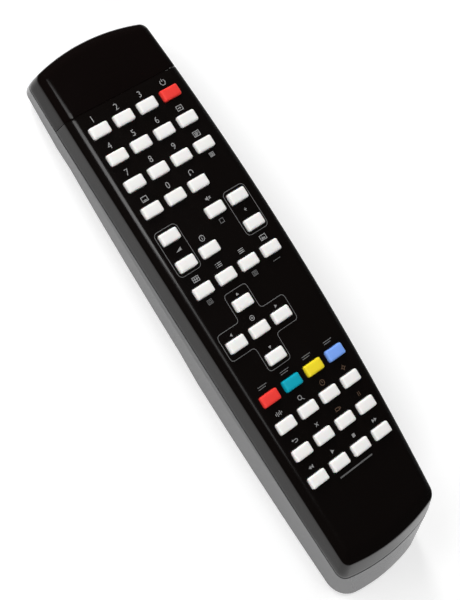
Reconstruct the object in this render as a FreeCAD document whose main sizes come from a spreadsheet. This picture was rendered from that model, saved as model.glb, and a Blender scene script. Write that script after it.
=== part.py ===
import FreeCAD, Part
import Sketcher
import os

# Television remote control, millimetres.
# The frame: X runs across the face, Y towards the infra-red end, Z up out of the face.
# The origin is on the resting plane, under the middle of the overall box.
# The keypad deck, the plane of the circuit board's top, leans forward by stance_angle,
# because the case is thicker over the batteries than at the infra-red end.

V = FreeCAD.Vector
doc = FreeCAD.newDocument("remote_control")
sheet = doc.addObject("Spreadsheet::Sheet", "sizes")

SIZES = [
    # keypad grid, on the deck
    ("column_pitch", 9.8),
    ("row_pitch", 9.9),
    # how the deck stands over the resting plane
    ("stance_angle", 2.07),
    ("deck_forward", 7.52),
    ("bay_board_gap", 0.36),
    # arched face and the parting line that follows it
    ("face_rise", 7.8),
    ("face_radius", 1180),
    ("seam_drop", 8.2),
    ("parting_gap", 0.12),
    # plan outline of the case, its margins measured from the outermost key centres
    ("front_margin", 27.85),
    ("front_side_margin", 8.25),
    ("front_bow", 3.4),
    ("chin_margin", 42.65),
    ("chin_depth", 15.6),
    ("rake_angle", 32),
    ("rear_side_margin", 7.1),
    ("rear_bow", 3.0),
    ("side_bow", 2.37),
    ("widest_level", -2.5),
    ("loft_top", 10),
    ("loft_bottom", -22),
    ("top_draw", 0.85),
    ("bottom_draw", 2.3),
    ("front_corner", 3.1),
    ("front_corner_low", 5.0),
    ("rear_corner_high", 3.4),
    ("rear_corner", 3.8),
    ("rear_corner_low", 12.0),
    ("least_corner", 0.4),
    ("bevel_width", 2.6),
    ("bevel_depth", 1.3),
    ("underside_bevel", 2.2),
    # raised belly between the battery bay and the front lip
    ("belly_rise", 3.3),
    ("belly_margin", 3.5),
    ("belly_rear_run", 34.0),
    ("belly_front_run", 23.0),
    ("belly_lip", 9.2),
    # walls
    ("case_wall", 1.8),
    ("lip_height", 1.2),
    ("lip_wall", 0.85),
    ("lip_clearance", 0.1),
    ("window_margin", 7.25),
    ("window_gap", 0.1),
    # keys
    ("key_length", 7.0),
    ("key_width", 3.9),
    ("key_corner", 1.0),
    ("key_rise", 1.25),
    ("key_travel", 1.0),
    ("key_clearance", 0.2),
    ("flange_length", 8.4),
    ("flange_width", 5.3),
    ("flange_thickness", 0.7),
    ("flange_gap", 0.3),
    ("stem_length", 4.6),
    ("stem_width", 2.2),
    ("contact_gap", 0.1),
    # circuit board and rubber sheet
    ("board_thickness", 1.0),
    ("board_side_margin", 4.9),
    ("board_front_setback", 8.2),
    ("board_rear_setback", 19.0),
    ("sheet_thickness", 0.8),
    ("sheet_side_gap", 0.2),
    ("sheet_margin", 6.2),
    # posts that clamp the board
    ("post_half_width", 1.3),
    ("post_clearance", 0.3),
    ("pillar_half_width", 2.0),
    ("post_gap", 0.2),
    ("screw_pillar_radius", 3.2),
    # screws
    ("screw_head_radius", 1.9),
    ("screw_head_height", 1.4),
    ("screw_radius", 1.0),
    ("screw_length", 10.0),
    ("screw_seat", 8.0),
    ("screw_clearance", 0.15),
    ("pilot_clearance", 0.05),
    ("cross_length", 2.2),
    ("cross_width", 0.5),
    ("cross_depth", 0.8),
    # infra-red lamp
    ("lamp_radius", 1.5),
    ("lamp_length", 5.3),
    ("lamp_gap", 1.0),
    ("lamp_level", 0.3),
    ("lead_size", 0.5),
    ("lead_spacing", 1.6),
    ("lead_lap", 5.0),
    # battery bay, measured from the resting plane
    ("cell_radius", 5.25),
    ("cell_length", 44.5),
    ("nub_radius", 1.9),
    ("nub_length", 1.1),
    ("cell_gap", 0.6),
    ("cell_clearance", 0.3),
    ("bay_setback", 11.48),
    ("bay_side_play", 0.4),
    ("spring_length", 4.2),
    ("spring_end_gap", 0.05),
    ("spring_width", 4.4),
    ("spring_root", 3.6),
    ("spring_crown", 1.1),
    ("contact_thickness", 0.4),
    ("contact_half_width", 4.3),
    ("tab_half_width", 1.5),
    ("bay_side_wall", 1.3),
    ("bay_roof", 1.0),
    # battery door
    ("door_thickness", 1.5),
    ("door_lift", 0.15),
    ("door_seat_gap", 0.15),
    ("door_side_lap", 2.4),
    ("door_front_lap", 0.9),
    ("door_rear_lap", 2.2),
    ("door_gap", 0.2),
    ("door_corner", 1.5),
    ("tongue_length", 1.4),
    ("tongue_half_width", 2.4),
    ("tongue_offset", 8.0),
    ("tongue_thickness", 0.7),
    ("tongue_clearance", 0.3),
    ("slot_length", 3.3),
    ("slot_ledge", 0.8),
    ("rim_height", 3.2),
    ("rim_width", 1.6),
    ("latch_half_width", 4.0),
    ("latch_slot", 0.8),
    ("latch_length", 7.0),
    ("groove_half_length", 6.0),
    ("groove_pitch", 1.8),
    ("groove_width", 0.8),
    ("groove_depth", 0.4),
    # parts on the board
    ("chip_length", 12.8),
    ("chip_width", 7.5),
    ("chip_height", 2.3),
    ("chip_forward", 34.0),
    ("chip_stand_off", 0.1),
    ("pin_pitch", 1.27),
    ("pin_width", 0.4),
    ("pin_thickness", 0.25),
    ("pin_foot", 1.2),
    ("pin_root", 1.1),
    # how far cutting solids reach: past a face, past both ends, and past the top and bottom
    ("cut_past", 1.0),
    ("cut_reach", 130),
    ("cut_height", 40),
]

# Sizes worked out from the others.
DERIVED = [
    # ends and sides of the case, from the key grid
    ("grid_half_length", "6.5 * row_pitch"),
    ("grid_half_width", "1.5 * column_pitch"),
    ("front_reach", "grid_half_length + front_margin"),
    ("chin_reach", "grid_half_length + chin_margin"),
    ("window_split", "grid_half_length + window_margin"),
    ("front_half_width", "grid_half_width + front_side_margin"),
    ("rear_half_width", "grid_half_width + rear_side_margin"),
    # circuit board, rubber sheet and lamp
    ("board_half_width", "grid_half_width + board_side_margin"),
    ("board_front", "front_reach - board_front_setback"),
    ("board_rear", "board_rear_setback - chin_reach"),
    ("sheet_half_width", "board_half_width - sheet_side_gap"),
    ("lamp_front", "front_reach - case_wall - lamp_gap"),
    ("lamp_rear", "lamp_front - lamp_length"),
    ("lead_rear", "board_front - lead_lap"),
    # battery bay, measured from the resting plane
    ("cell_spacing", "2 * cell_radius + cell_gap"),
    ("bay_rear", "deck_forward - chin_reach + bay_setback"),
    ("bay_front", "bay_rear + 2 * contact_thickness + spring_length + cell_length"),
    ("bay_half_width", "cell_spacing / 2 + cell_radius + bay_side_play"),
    ("bay_floor", "door_lift + door_thickness + door_seat_gap"),
    ("bay_ceiling", "bay_floor + 2 * cell_radius + cell_clearance"),
    ("cell_level", "bay_floor + cell_radius + cell_clearance / 2"),
    # the deck clears the roof of the bay by the board and a gap
    ("deck_height", "bay_ceiling + bay_roof + bay_board_gap + board_thickness"
                    " + (bay_front - deck_forward) * tan(stance_angle)"),
    ("bay_front_on_deck", "(bay_front - deck_forward) * cos(stance_angle)"
                          " + deck_height * sin(stance_angle)"),
    # the screws stand between two rows of keys, in front of the bay
    ("screw_row", "ceil((bay_front_on_deck + bay_side_wall + screw_pillar_radius) / row_pitch)"),
    ("screw_post_radius", "row_pitch / 2 - flange_width / 2 - post_gap"),
    # raised belly, on the deck
    ("belly_rear", "bay_front_on_deck + belly_margin"),
    ("belly_rear_top", "belly_rear + belly_rear_run"),
    ("belly_front", "front_reach - belly_lip"),
    ("belly_front_top", "belly_front - belly_front_run"),
    # battery door, measured from the resting plane
    ("door_half_width", "bay_half_width + door_side_lap"),
    ("door_rear", "bay_rear - bay_side_wall - door_rear_lap"),
    ("door_front", "bay_front + door_front_lap"),
]

table = [(alias, str(setting)) for alias, setting in SIZES]
table += [(alias, f"={formula}") for alias, formula in DERIVED]
for number_of_row, (alias, content) in enumerate(table, start=1):
    cell = f"A{number_of_row}"
    sheet.set(cell, content)
    sheet.setAlias(cell, alias)
doc.recompute()

REACH = "sizes.cut_reach"
HIGH = "sizes.cut_height"
COLUMNS = range(4)
ROWS = range(1, 15)
MIDDLE_COLUMN = 1.5
MIDDLE_ROW = 7.5


def number(expression):
    """The value of an expression over the sheet."""
    result = sheet.evalExpression(expression)
    return float(getattr(result, "Value", result))


def bind(item, name, expression):
    item.setExpression(name, expression)


def stand_on_deck(item, x, y, z):
    """Place an item at a point of the leaning deck and lean it with the deck."""
    item.Placement = FreeCAD.Placement(V(0, 0, 0), FreeCAD.Rotation(V(1, 0, 0), -1))
    bind(item, ".Placement.Rotation.Angle", "-sizes.stance_angle")
    bind(item, ".Placement.Base.x", x)
    bind(item, ".Placement.Base.y",
         f"sizes.deck_forward + ({y}) * cos(sizes.stance_angle) + ({z}) * sin(sizes.stance_angle)")
    bind(item, ".Placement.Base.z",
         f"sizes.deck_height - ({y}) * sin(sizes.stance_angle) + ({z}) * cos(sizes.stance_angle)")


def stand_on_rest(item, x, y, z):
    """Place an item at a point measured from the resting plane."""
    bind(item, ".Placement.Base.x", x)
    bind(item, ".Placement.Base.y", y)
    bind(item, ".Placement.Base.z", z)


def plane_of(body, role):
    return [feature for feature in body.Origin.OriginFeatures if feature.Role == role][0]


def sketch_on(body, name, role, level="0"):
    """A sketch on one of the body's own origin planes, raised to a level."""
    sketch = body.newObject("Sketcher::SketchObject", name)
    sketch.AttachmentSupport = (plane_of(body, role), [""])
    sketch.MapMode = "FlatFace"
    bind(sketch, ".AttachmentOffset.Base.z", level)
    return sketch


def hold(sketch, kind, *place_and_size):
    """Add a constraint whose last argument is an expression over the sheet."""
    expression = place_and_size[-1]
    place = place_and_size[:-1]
    index = sketch.addConstraint(Sketcher.Constraint(kind, *place, number(expression)))
    name = f"size_{index}"
    sketch.renameConstraint(index, name)
    bind(sketch, f"Constraints.{name}", expression)


def hold_point(sketch, edge, end, x, y):
    hold(sketch, "DistanceX", -1, 1, edge, end, x)
    hold(sketch, "DistanceY", -1, 1, edge, end, y)


def polygon(sketch, corners):
    """A closed outline of straight edges through corners given as expressions."""
    points = [V(number(x), number(y), 0) for x, y in corners]
    first = sketch.GeometryCount
    count = len(points)
    for index in range(count):
        sketch.addGeometry(Part.LineSegment(points[index], points[(index + 1) % count]))
    for index in range(count):
        sketch.addConstraint(Sketcher.Constraint(
            "Coincident", first + index, 2, first + (index + 1) % count, 1))
    for index, (x, y) in enumerate(corners):
        hold_point(sketch, first + index, 1, x, y)


def rectangle(sketch, left, right, low, high):
    polygon(sketch, [(left, low), (right, low), (right, high), (left, high)])


def clipped_rectangle(sketch, length, width, clip):
    """A centred rectangle with clipped corners, sizes given as expressions."""
    x, y = f"(({length}) / 2)", f"(({width}) / 2)"
    near_x, near_y = f"({x} - ({clip}))", f"({y} - ({clip}))"
    polygon(sketch, [(x, f"-{near_y}"), (x, near_y), (near_x, y), (f"-{near_x}", y),
                     (f"-{x}", near_y), (f"-{x}", f"-{near_y}"), (f"-{near_x}", f"-{y}"),
                     (near_x, f"-{y}")])


def pad(body, sketch, name, length):
    feature = body.newObject("PartDesign::Pad", name)
    feature.Profile = sketch
    bind(feature, "Length", length)
    return feature


def pocket_through(body, sketch, name):
    """Cut a profile right through, both ways from its plane."""
    feature = body.newObject("PartDesign::Pocket", name)
    feature.Profile = sketch
    feature.Type = "ThroughAll"
    feature.Midplane = True
    return feature


def edge_names(shape, wanted):
    return [f"Edge{index}" for index, edge in enumerate(shape.Edges, start=1) if wanted(edge)]


# Plan outline of the case: four bowed edges with round corners. An inset draws it in by the
# thickness of a wall, so that the inside of a wall follows its outside.

def inner_touch(centre_a, radius_a, centre_b, radius_b, radius, near):
    """The centre of a small circle that touches two large ones from inside, near a point."""
    reach_a = radius_a - radius
    reach_b = radius_b - radius
    apart = centre_b - centre_a
    along = (reach_a ** 2 - reach_b ** 2 + apart.Length ** 2) / (2 * apart.Length)
    aside = (reach_a ** 2 - along ** 2) ** 0.5
    direction = apart.normalize()
    across = V(-direction.y, direction.x, 0)
    choices = [centre_a + direction * along + across * (aside * side) for side in (1, -1)]
    return min(choices, key=lambda point: (point - near).Length)


def toward(centre, radius, point):
    return centre + (point - centre).normalize() * radius


def plan_outline(body, name, level, draw, inset, front_corner, rear_corner):
    sketch = sketch_on(body, name, "XY_Plane", level)
    front_x = f"(sizes.front_half_width - ({draw}))"
    front_y = "(sizes.front_reach - sizes.front_bow)"
    rear_x = f"(sizes.rear_half_width - ({draw}))"
    rear_y = (f"(sizes.rear_bow - sizes.chin_reach"
              f" + (({level}) + sizes.chin_depth) * tan(sizes.rake_angle))")
    span = f"sqrt(({front_x} - {rear_x})^2 + ({front_y} - {rear_y})^2)"
    front_radius = f"(({front_x}^2 + sizes.front_bow^2) / (2 * sizes.front_bow))"
    rear_radius = f"(({rear_x}^2 + sizes.rear_bow^2) / (2 * sizes.rear_bow))"
    side_radius = f"(({span}^2 / 4 + sizes.side_bow^2) / (2 * sizes.side_bow))"
    side_reach = f"({side_radius} - sizes.side_bow) / {span}"
    side_x = f"(({front_x} + {rear_x}) / 2 - ({front_y} - {rear_y}) * {side_reach})"
    side_y = f"(({front_y} + {rear_y}) / 2 + ({front_x} - {rear_x}) * {side_reach})"
    rear_inset = f"({inset}) / cos(sizes.rake_angle)"
    # each bowed edge: the place of its centre, and its radius
    edges = [("0", f"({front_y} + sizes.front_bow - {front_radius})", f"({front_radius} - ({inset}))"),
             (f"-{side_x}", side_y, f"({side_radius} - ({inset}))"),
             ("0", f"({rear_y} - sizes.rear_bow + {rear_radius})", f"({rear_radius} - {rear_inset})"),
             (side_x, side_y, f"({side_radius} - ({inset}))")]
    round_front = f"max(sizes.{front_corner} - ({inset}); sizes.least_corner)"
    round_rear = f"max(sizes.{rear_corner} - ({inset}); sizes.least_corner)"
    rounds = [round_front, round_rear, round_rear, round_front]
    bows = [(V(number(x), number(y), 0), number(radius)) for x, y, radius in edges]
    fx, fy, rx, ry = (number(each) for each in (front_x, front_y, rear_x, rear_y))
    corners = [V(-fx, fy, 0), V(-rx, ry, 0), V(rx, ry, 0), V(fx, fy, 0)]
    centres = []
    for index in range(4):
        centre_a, radius_a = bows[index]
        centre_b, radius_b = bows[(index + 1) % 4]
        centres.append(inner_touch(V(centre_a), radius_a, V(centre_b), radius_b,
                                   number(rounds[index]), corners[index]))
    for index in range(4):
        centre, radius = bows[index]
        start = toward(centre, radius, centres[index - 1])
        end = toward(centre, radius, centres[index])
        middle = toward(centre, radius, (start + end) * 0.5)
        sketch.addGeometry(Part.Arc(start, middle, end))
        following, following_radius = bows[(index + 1) % 4]
        corner_end = toward(following, following_radius, centres[index])
        corner_middle = toward(centres[index], number(rounds[index]), corners[index])
        sketch.addGeometry(Part.Arc(end, corner_middle, corner_end))
    for index in range(8):
        sketch.addConstraint(Sketcher.Constraint("Tangent", index, 2, (index + 1) % 8, 1))
    for index, (x, y, radius) in enumerate(edges):
        hold_point(sketch, 2 * index, 3, x, y)
        hold(sketch, "Radius", 2 * index, radius)
        hold(sketch, "Radius", 2 * index + 1, rounds[index])
    return sketch


def arch_profile(body, name, drop, side):
    """Side view of everything above (side 1) or below (side -1) an arch under the face."""
    sketch = sketch_on(body, name, "YZ_Plane")
    radius = f"(sizes.face_radius - ({drop}))"
    centre_z = "(sizes.face_rise - sizes.face_radius)"
    end_z = f"({centre_z} + sqrt({radius}^2 - {REACH}^2))"
    far_z = f"{side} * {HIGH}"
    top = number(centre_z) + number(radius)
    reach, end, far = (number(each) for each in (REACH, end_z, far_z))
    sketch.addGeometry(Part.Arc(V(reach, end, 0), V(0, top, 0), V(-reach, end, 0)))
    sketch.addGeometry(Part.LineSegment(V(-reach, end, 0), V(-reach, far, 0)))
    sketch.addGeometry(Part.LineSegment(V(-reach, far, 0), V(reach, far, 0)))
    sketch.addGeometry(Part.LineSegment(V(reach, far, 0), V(reach, end, 0)))
    for index in range(4):
        sketch.addConstraint(Sketcher.Constraint("Coincident", index, 2, (index + 1) % 4, 1))
    hold_point(sketch, 0, 1, REACH, end_z)
    hold_point(sketch, 0, 2, f"-{REACH}", end_z)
    hold(sketch, "Radius", 0, radius)
    hold_point(sketch, 2, 1, f"-{REACH}", far_z)
    hold_point(sketch, 2, 2, REACH, far_z)
    return sketch


def rest_level(y, height):
    """Deck height of a point that lies a height above the resting plane at deck place y."""
    return (f"((({height}) - sizes.deck_height + ({y}) * sin(sizes.stance_angle))"
            f" / cos(sizes.stance_angle))")


def cut_underside(body, height):
    """Cut away everything lower than a height over the resting plane."""
    sketch = sketch_on(body, f"{body.Name}_under", "YZ_Plane")
    front = rest_level(REACH, height)
    rear = rest_level(f"-{REACH}", height)
    polygon(sketch, [(f"-{REACH}", rear), (REACH, front),
                     (REACH, f"-{HIGH}"), (f"-{REACH}", f"-{HIGH}")])
    pocket_through(body, sketch, f"{body.Name}_base")


def raise_belly(body, height):
    """Raise the underside between the battery bay and the front lip, sloping at both ends."""
    sketch = sketch_on(body, f"{body.Name}_arch", "YZ_Plane")
    belly = f"({height}) + sizes.belly_rise"
    line = [("sizes.belly_rear", height), ("sizes.belly_rear_top", belly),
            ("sizes.belly_front_top", belly), ("sizes.belly_front", height)]
    corners = [(y, rest_level(y, above)) for y, above in line]
    corners += [("sizes.belly_front", f"-{HIGH}"), ("sizes.belly_rear", f"-{HIGH}")]
    polygon(sketch, corners)
    pocket_through(body, sketch, f"{body.Name}_belly")


def case_block(name, inset, top_drop, under_height=None, floor_drop=None):
    """A solid of the case's outline between an arch on top and an arch or the underside below."""
    body = doc.addObject("PartDesign::Body", name)
    stand_on_deck(body, "0", "0", "0")
    low = plan_outline(body, f"{name}_low", "sizes.loft_bottom", "sizes.bottom_draw", inset,
                       "front_corner_low", "rear_corner_low")
    wide = plan_outline(body, f"{name}_wide", "sizes.widest_level", "0", inset,
                        "front_corner", "rear_corner")
    high = plan_outline(body, f"{name}_high", "sizes.loft_top", "sizes.top_draw", inset,
                        "front_corner", "rear_corner_high")
    loft = body.newObject("PartDesign::AdditiveLoft", f"{name}_loft")
    loft.Profile = low
    loft.Sections = [wide, high]
    loft.Ruled = True
    pocket_through(body, arch_profile(body, f"{name}_over", top_drop, 1), f"{name}_top")
    if floor_drop is not None:
        pocket_through(body, arch_profile(body, f"{name}_below", floor_drop, -1), f"{name}_floor")
    if under_height is not None:
        cut_underside(body, under_height)
    doc.recompute()
    return body


def dress(body, kind, name, choose, **settings):
    """Round or bevel edges of the body's newest feature; choose names them from its shape."""
    base = body.Tip
    edges = choose(base.Shape)
    feature = body.newObject(kind, name)
    feature.Base = (base, edges)
    for setting, expression in settings.items():
        bind(feature, setting, expression)
    return feature


def arched_face_edges(shape, radius):
    """The border of the largest face that lies on the face's arch."""
    arched = [face for face in shape.Faces
              if isinstance(face.Surface, Part.Cylinder) and abs(face.Surface.Radius - radius) < 0.01]
    face = max(arched, key=lambda each: each.Area)
    return edge_names(shape, lambda edge: any(edge.isSame(border) for border in face.Edges))


def underside_edges(shape):
    """The border edges of the underside, which look down from the leaning deck."""
    names = []
    for index, edge in enumerate(shape.Edges, start=1):
        faces = shape.ancestorsOfType(edge, Part.Face)
        down = [face for face in faces if face.normalAt(*middle_of(face)).z < -0.9]
        if len(down) == 1:
            names.append(f"Edge{index}")
    return names


def middle_of(face):
    low_u, high_u, low_v, high_v = face.ParameterRange
    return (low_u + high_u) / 2, (low_v + high_v) / 2


def boolean(kind, name, *items):
    """A cut, common or fuse of finished objects."""
    result = doc.addObject(kind, name)
    if kind in ("Part::MultiFuse", "Part::MultiCommon"):
        result.Shapes = list(items)
    else:
        result.Base, result.Tool = items
    return result


def deck_box(name, x, y, z):
    """A box on the deck between pairs of limits given as expressions."""
    box = doc.addObject("Part::Box", name)
    for side, (low, high) in (("Length", x), ("Width", y), ("Height", z)):
        bind(box, side, f"({high}) - ({low})")
    stand_on_deck(box, x[0], y[0], z[0])
    return box


def rest_box(name, x, y, z):
    """A box over the resting plane between pairs of limits given as expressions."""
    box = doc.addObject("Part::Box", name)
    for side, (low, high) in (("Length", x), ("Width", y), ("Height", z)):
        bind(box, side, f"({high}) - ({low})")
    stand_on_rest(box, x[0], y[0], z[0])
    return box


def deck_post(name, radius, x, y, low, high):
    """A round post on the deck, between two levels."""
    post = doc.addObject("Part::Cylinder", name)
    bind(post, "Radius", radius)
    bind(post, "Height", f"({high}) - ({low})")
    stand_on_deck(post, x, y, low)
    return post


def column_x(column):
    return f"({column - MIDDLE_COLUMN}) * sizes.column_pitch"


def row_y(row):
    return f"({MIDDLE_ROW - row}) * sizes.row_pitch"


def arch_level(y, drop):
    """Deck height of an arch that lies a drop under the face, at deck place y."""
    return (f"(sizes.face_rise - sizes.face_radius"
            f" + sqrt((sizes.face_radius - ({drop}))^2 - ({y})^2))")


# The keys: names by row from the infra-red end, None where the face has no key.

KEY_NAMES = [
    ("digit_1", "digit_2", "digit_3", "power"),
    ("digit_4", "digit_5", "digit_6", "source"),
    ("digit_7", "digit_8", "digit_9", "text"),
    ("subtitle", "digit_0", "recall", None),
    ("volume_up", None, "mute", "channel_up"),
    ("volume_down", "info", None, "channel_down"),
    ("guide", "list", "menu", "picture"),
    (None, "up", None, None),
    ("left", "enter", "right", None),
    (None, "down", None, None),
    ("red", "green", "yellow", "blue"),
    ("audio", "zoom", "timer", "tools"),
    ("return", "exit", "usb", "still"),
    ("rewind", "play", "stop", "forward"),
]


def key_cells():
    for row in ROWS:
        for column in COLUMNS:
            name = KEY_NAMES[row - 1][column]
            if name:
                yield name, column, row


def flange_level(row):
    """Deck height of the top of a key's flange, just under the ceiling of the shell."""
    return f"({arch_level(row_y(row), 'sizes.case_wall')} - sizes.flange_gap)"


def make_key(name, column, row):
    """A rubber key: a rounded cap, the flange that keeps it in, and its contact stem."""
    body = doc.addObject("PartDesign::Body", f"key_{name}")
    stand_on_deck(body, column_x(column), row_y(row), "0")
    flange_top = flange_level(row)
    flange_low = f"{flange_top} - sizes.flange_thickness"
    stem_low = "(sizes.sheet_thickness + sizes.key_travel + sizes.contact_gap)"
    stem = sketch_on(body, f"{body.Name}_stem_outline", "XY_Plane", stem_low)
    rectangle(stem, "-sizes.stem_length / 2", "sizes.stem_length / 2",
              "-sizes.stem_width / 2", "sizes.stem_width / 2")
    pad(body, stem, f"{body.Name}_stem", f"{flange_low} - {stem_low}")
    flange = sketch_on(body, f"{body.Name}_flange_outline", "XY_Plane", flange_low)
    rectangle(flange, "-sizes.flange_length / 2", "sizes.flange_length / 2",
              "-sizes.flange_width / 2", "sizes.flange_width / 2")
    pad(body, flange, f"{body.Name}_flange", "sizes.flange_thickness")
    cap = sketch_on(body, f"{body.Name}_cap_outline", "XY_Plane", flange_top)
    clipped_rectangle(cap, "sizes.key_length", "sizes.key_width", "sizes.key_corner")
    cap_top = f"{arch_level(row_y(row), '0')} + sizes.key_rise"
    pad(body, cap, f"{body.Name}_cap", f"{cap_top} - {flange_top}")
    return body


def make_aperture(name, column, row):
    """The opening that a key's cap travels through, as a solid to cut away."""
    sketch = doc.addObject("Sketcher::SketchObject", f"aperture_outline_{name}")
    stand_on_deck(sketch, column_x(column), row_y(row), "0")
    clipped_rectangle(sketch, "sizes.key_length + 2 * sizes.key_clearance",
                      "sizes.key_width + 2 * sizes.key_clearance",
                      "sizes.key_corner + (2 - sqrt(2)) * sizes.key_clearance")
    cutter = doc.addObject("Part::Extrusion", f"aperture_{name}")
    cutter.Base = sketch
    cutter.DirMode = "Normal"
    cutter.Solid = True
    bind(cutter, "LengthFwd", "2 * sizes.face_rise")
    return cutter


keys = [make_key(*cell) for cell in key_cells()]
apertures = [make_aperture(*cell) for cell in key_cells()]


def gather(name, items):
    group = doc.addObject("Part::Compound", name)
    group.Links = items
    return group


# Places between the keys where posts of the upper shell press the board on pillars of the
# lower shell: multiples of the row pitch from the middle of the grid.

FRONT_POSTS = "5 * sizes.row_pitch"
MIDDLE_POSTS = "sizes.row_pitch"
SCREW_POSTS = "sizes.screw_row * sizes.row_pitch"
BAY_POSTS = "-6 * sizes.row_pitch"
SIDES = {"left": "-sizes.column_pitch", "right": "sizes.column_pitch"}
CLAMPS = {"front": FRONT_POSTS, "middle": MIDDLE_POSTS, "bay": BAY_POSTS}
BOARD_UNDERSIDE = "-sizes.board_thickness"
POST_HOLE = "(sizes.post_half_width + sizes.post_clearance)"
SCREW_POST_HOLE = "sizes.screw_post_radius + sizes.post_clearance"


def pair_of_posts(name, radius, y, low, high):
    """Two equal posts, left and right of the middle."""
    return [deck_post(f"{name}_{side}", radius, x, y, low, high) for side, x in SIDES.items()]


def pair_of_columns(name, half_width, y, low, high):
    """Two equal square columns, left and right of the middle."""
    return [deck_box(f"{name}_{side}", (f"{x} - {half_width}", f"{x} + {half_width}"),
                     (f"{y} - {half_width}", f"{y} + {half_width}"), (low, high))
            for side, x in SIDES.items()]


# Upper casing: the arched and bevelled outside less its hollow, then split into the shell
# and the smoked window at the infra-red end.

casing_outer = case_block("casing_outer", "0", "0", floor_drop="sizes.seam_drop")
bevel = dress(casing_outer, "PartDesign::Chamfer", "casing_bevel",
              lambda shape: arched_face_edges(shape, number("sizes.face_radius")),
              Size="sizes.bevel_depth", Size2="sizes.bevel_width")
bevel.ChamferType = "Two distances"
casing_hollow = case_block("casing_hollow", "sizes.case_wall", "sizes.case_wall",
                           floor_drop="sizes.seam_drop + sizes.lip_height")
lip_relief = case_block("lip_relief", "sizes.lip_wall",
                        "sizes.seam_drop - sizes.lip_height - sizes.lip_clearance",
                        floor_drop="sizes.seam_drop + sizes.lip_height")
casing_wall = boolean("Part::Cut", "casing_wall", casing_outer,
                      gather("casing_inside", [casing_hollow, lip_relief]))
ir_window = boolean("Part::Cut", "ir_window", casing_wall,
                    deck_box("window_limit", (f"-{HIGH}", HIGH),
                             (f"-{REACH}", "sizes.window_split + sizes.window_gap"),
                             (f"-{HIGH}", HIGH)))
shell_wall = boolean("Part::Cut", "shell_wall", casing_wall,
                     deck_box("shell_limit", (f"-{HIGH}", HIGH),
                              ("sizes.window_split", REACH), (f"-{HIGH}", HIGH)))
upper_posts = []
for clamp, post_y in CLAMPS.items():
    upper_posts += pair_of_columns(f"post_{clamp}", "sizes.post_half_width", post_y, "0",
                                   arch_level(post_y, "sizes.case_wall / 2"))
upper_posts += pair_of_posts("screw_post", "sizes.screw_post_radius", SCREW_POSTS,
                             f"{BOARD_UNDERSIDE} + sizes.post_clearance",
                             arch_level(SCREW_POSTS, "sizes.case_wall / 2"))
pilots = pair_of_posts("pilot", "sizes.screw_radius + sizes.pilot_clearance", SCREW_POSTS,
                       BOARD_UNDERSIDE, arch_level(SCREW_POSTS, "sizes.case_wall + sizes.lip_height"))
shell_with_posts = boolean("Part::MultiFuse", "shell_with_posts", shell_wall, *upper_posts)
upper_shell = boolean("Part::Cut", "upper_shell", shell_with_posts,
                      gather("shell_openings", apertures + pilots))


# Lower shell: a tray with a lip inside the parting line, pillars for the board, and a
# battery bay that opens through the underside.

lower_outer = case_block("lower_outer", "0", "sizes.seam_drop + sizes.parting_gap", under_height="0")
dress(lower_outer, "PartDesign::Chamfer", "lower_outer_bevel", underside_edges,
      Size="sizes.underside_bevel")
raise_belly(lower_outer, "0")
lip_block = case_block("lip_block", "sizes.lip_wall + sizes.lip_clearance",
                       "sizes.seam_drop - sizes.lip_height",
                       floor_drop="sizes.seam_drop + sizes.lip_height")
lower_hollow = case_block("lower_hollow", "sizes.case_wall", "sizes.seam_drop - 2 * sizes.lip_height",
                          under_height="sizes.case_wall")
raise_belly(lower_hollow, "sizes.case_wall")
tray_wall = boolean("Part::Cut", "tray_wall",
                    boolean("Part::MultiFuse", "tray_block", lower_outer, lip_block), lower_hollow)

BAY_HALF = "sizes.bay_half_width"
BAY_CEILING = "sizes.bay_ceiling"
BAY_FRONT = "sizes.bay_front"
FLOOR_MIDDLE = "sizes.case_wall / 2"
DOOR_REAR = "sizes.door_rear"
DOOR_FRONT = "sizes.door_front"


def door_plate(name, low, high, gap, corner):
    """A plate of the door's outline, grown by a gap, between two levels over the resting plane."""
    body = doc.addObject("PartDesign::Body", name)
    stand_on_rest(body, "0", f"({DOOR_REAR} + {DOOR_FRONT}) / 2", low)
    outline = sketch_on(body, f"{name}_outline", "XY_Plane")
    clipped_rectangle(outline, f"2 * (sizes.door_half_width + {gap})",
                      f"{DOOR_FRONT} - {DOOR_REAR} + 2 * {gap}", corner)
    pad(body, outline, f"{name}_pad", f"{high} - ({low})")
    return body


bay_block = rest_box("bay_block",
                     (f"-({BAY_HALF} + sizes.bay_side_wall)", f"{BAY_HALF} + sizes.bay_side_wall"),
                     ("sizes.bay_rear - sizes.bay_side_wall", f"{BAY_FRONT} + sizes.bay_side_wall"),
                     (FLOOR_MIDDLE, f"{BAY_CEILING} + sizes.bay_roof"))
door_rim = door_plate("door_rim", FLOOR_MIDDLE, "sizes.rim_height", "sizes.rim_width",
                      "sizes.door_corner + sizes.rim_width")
pillars = []
for clamp, foot in (("front", "sizes.belly_rise + sizes.case_wall / 2"),
                    ("middle", "sizes.belly_rise + sizes.case_wall / 2"),
                    ("bay", f"{BAY_CEILING} + sizes.bay_roof / 2")):
    pillars += pair_of_columns(f"pillar_{clamp}", "sizes.pillar_half_width", CLAMPS[clamp],
                               rest_level(CLAMPS[clamp], foot), BOARD_UNDERSIDE)
pillars += pair_of_posts("screw_pillar", "sizes.screw_pillar_radius", SCREW_POSTS,
                         rest_level(SCREW_POSTS, FLOOR_MIDDLE), BOARD_UNDERSIDE)
tray = boolean("Part::MultiFuse", "tray", tray_wall, bay_block, door_rim, *pillars)

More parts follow.
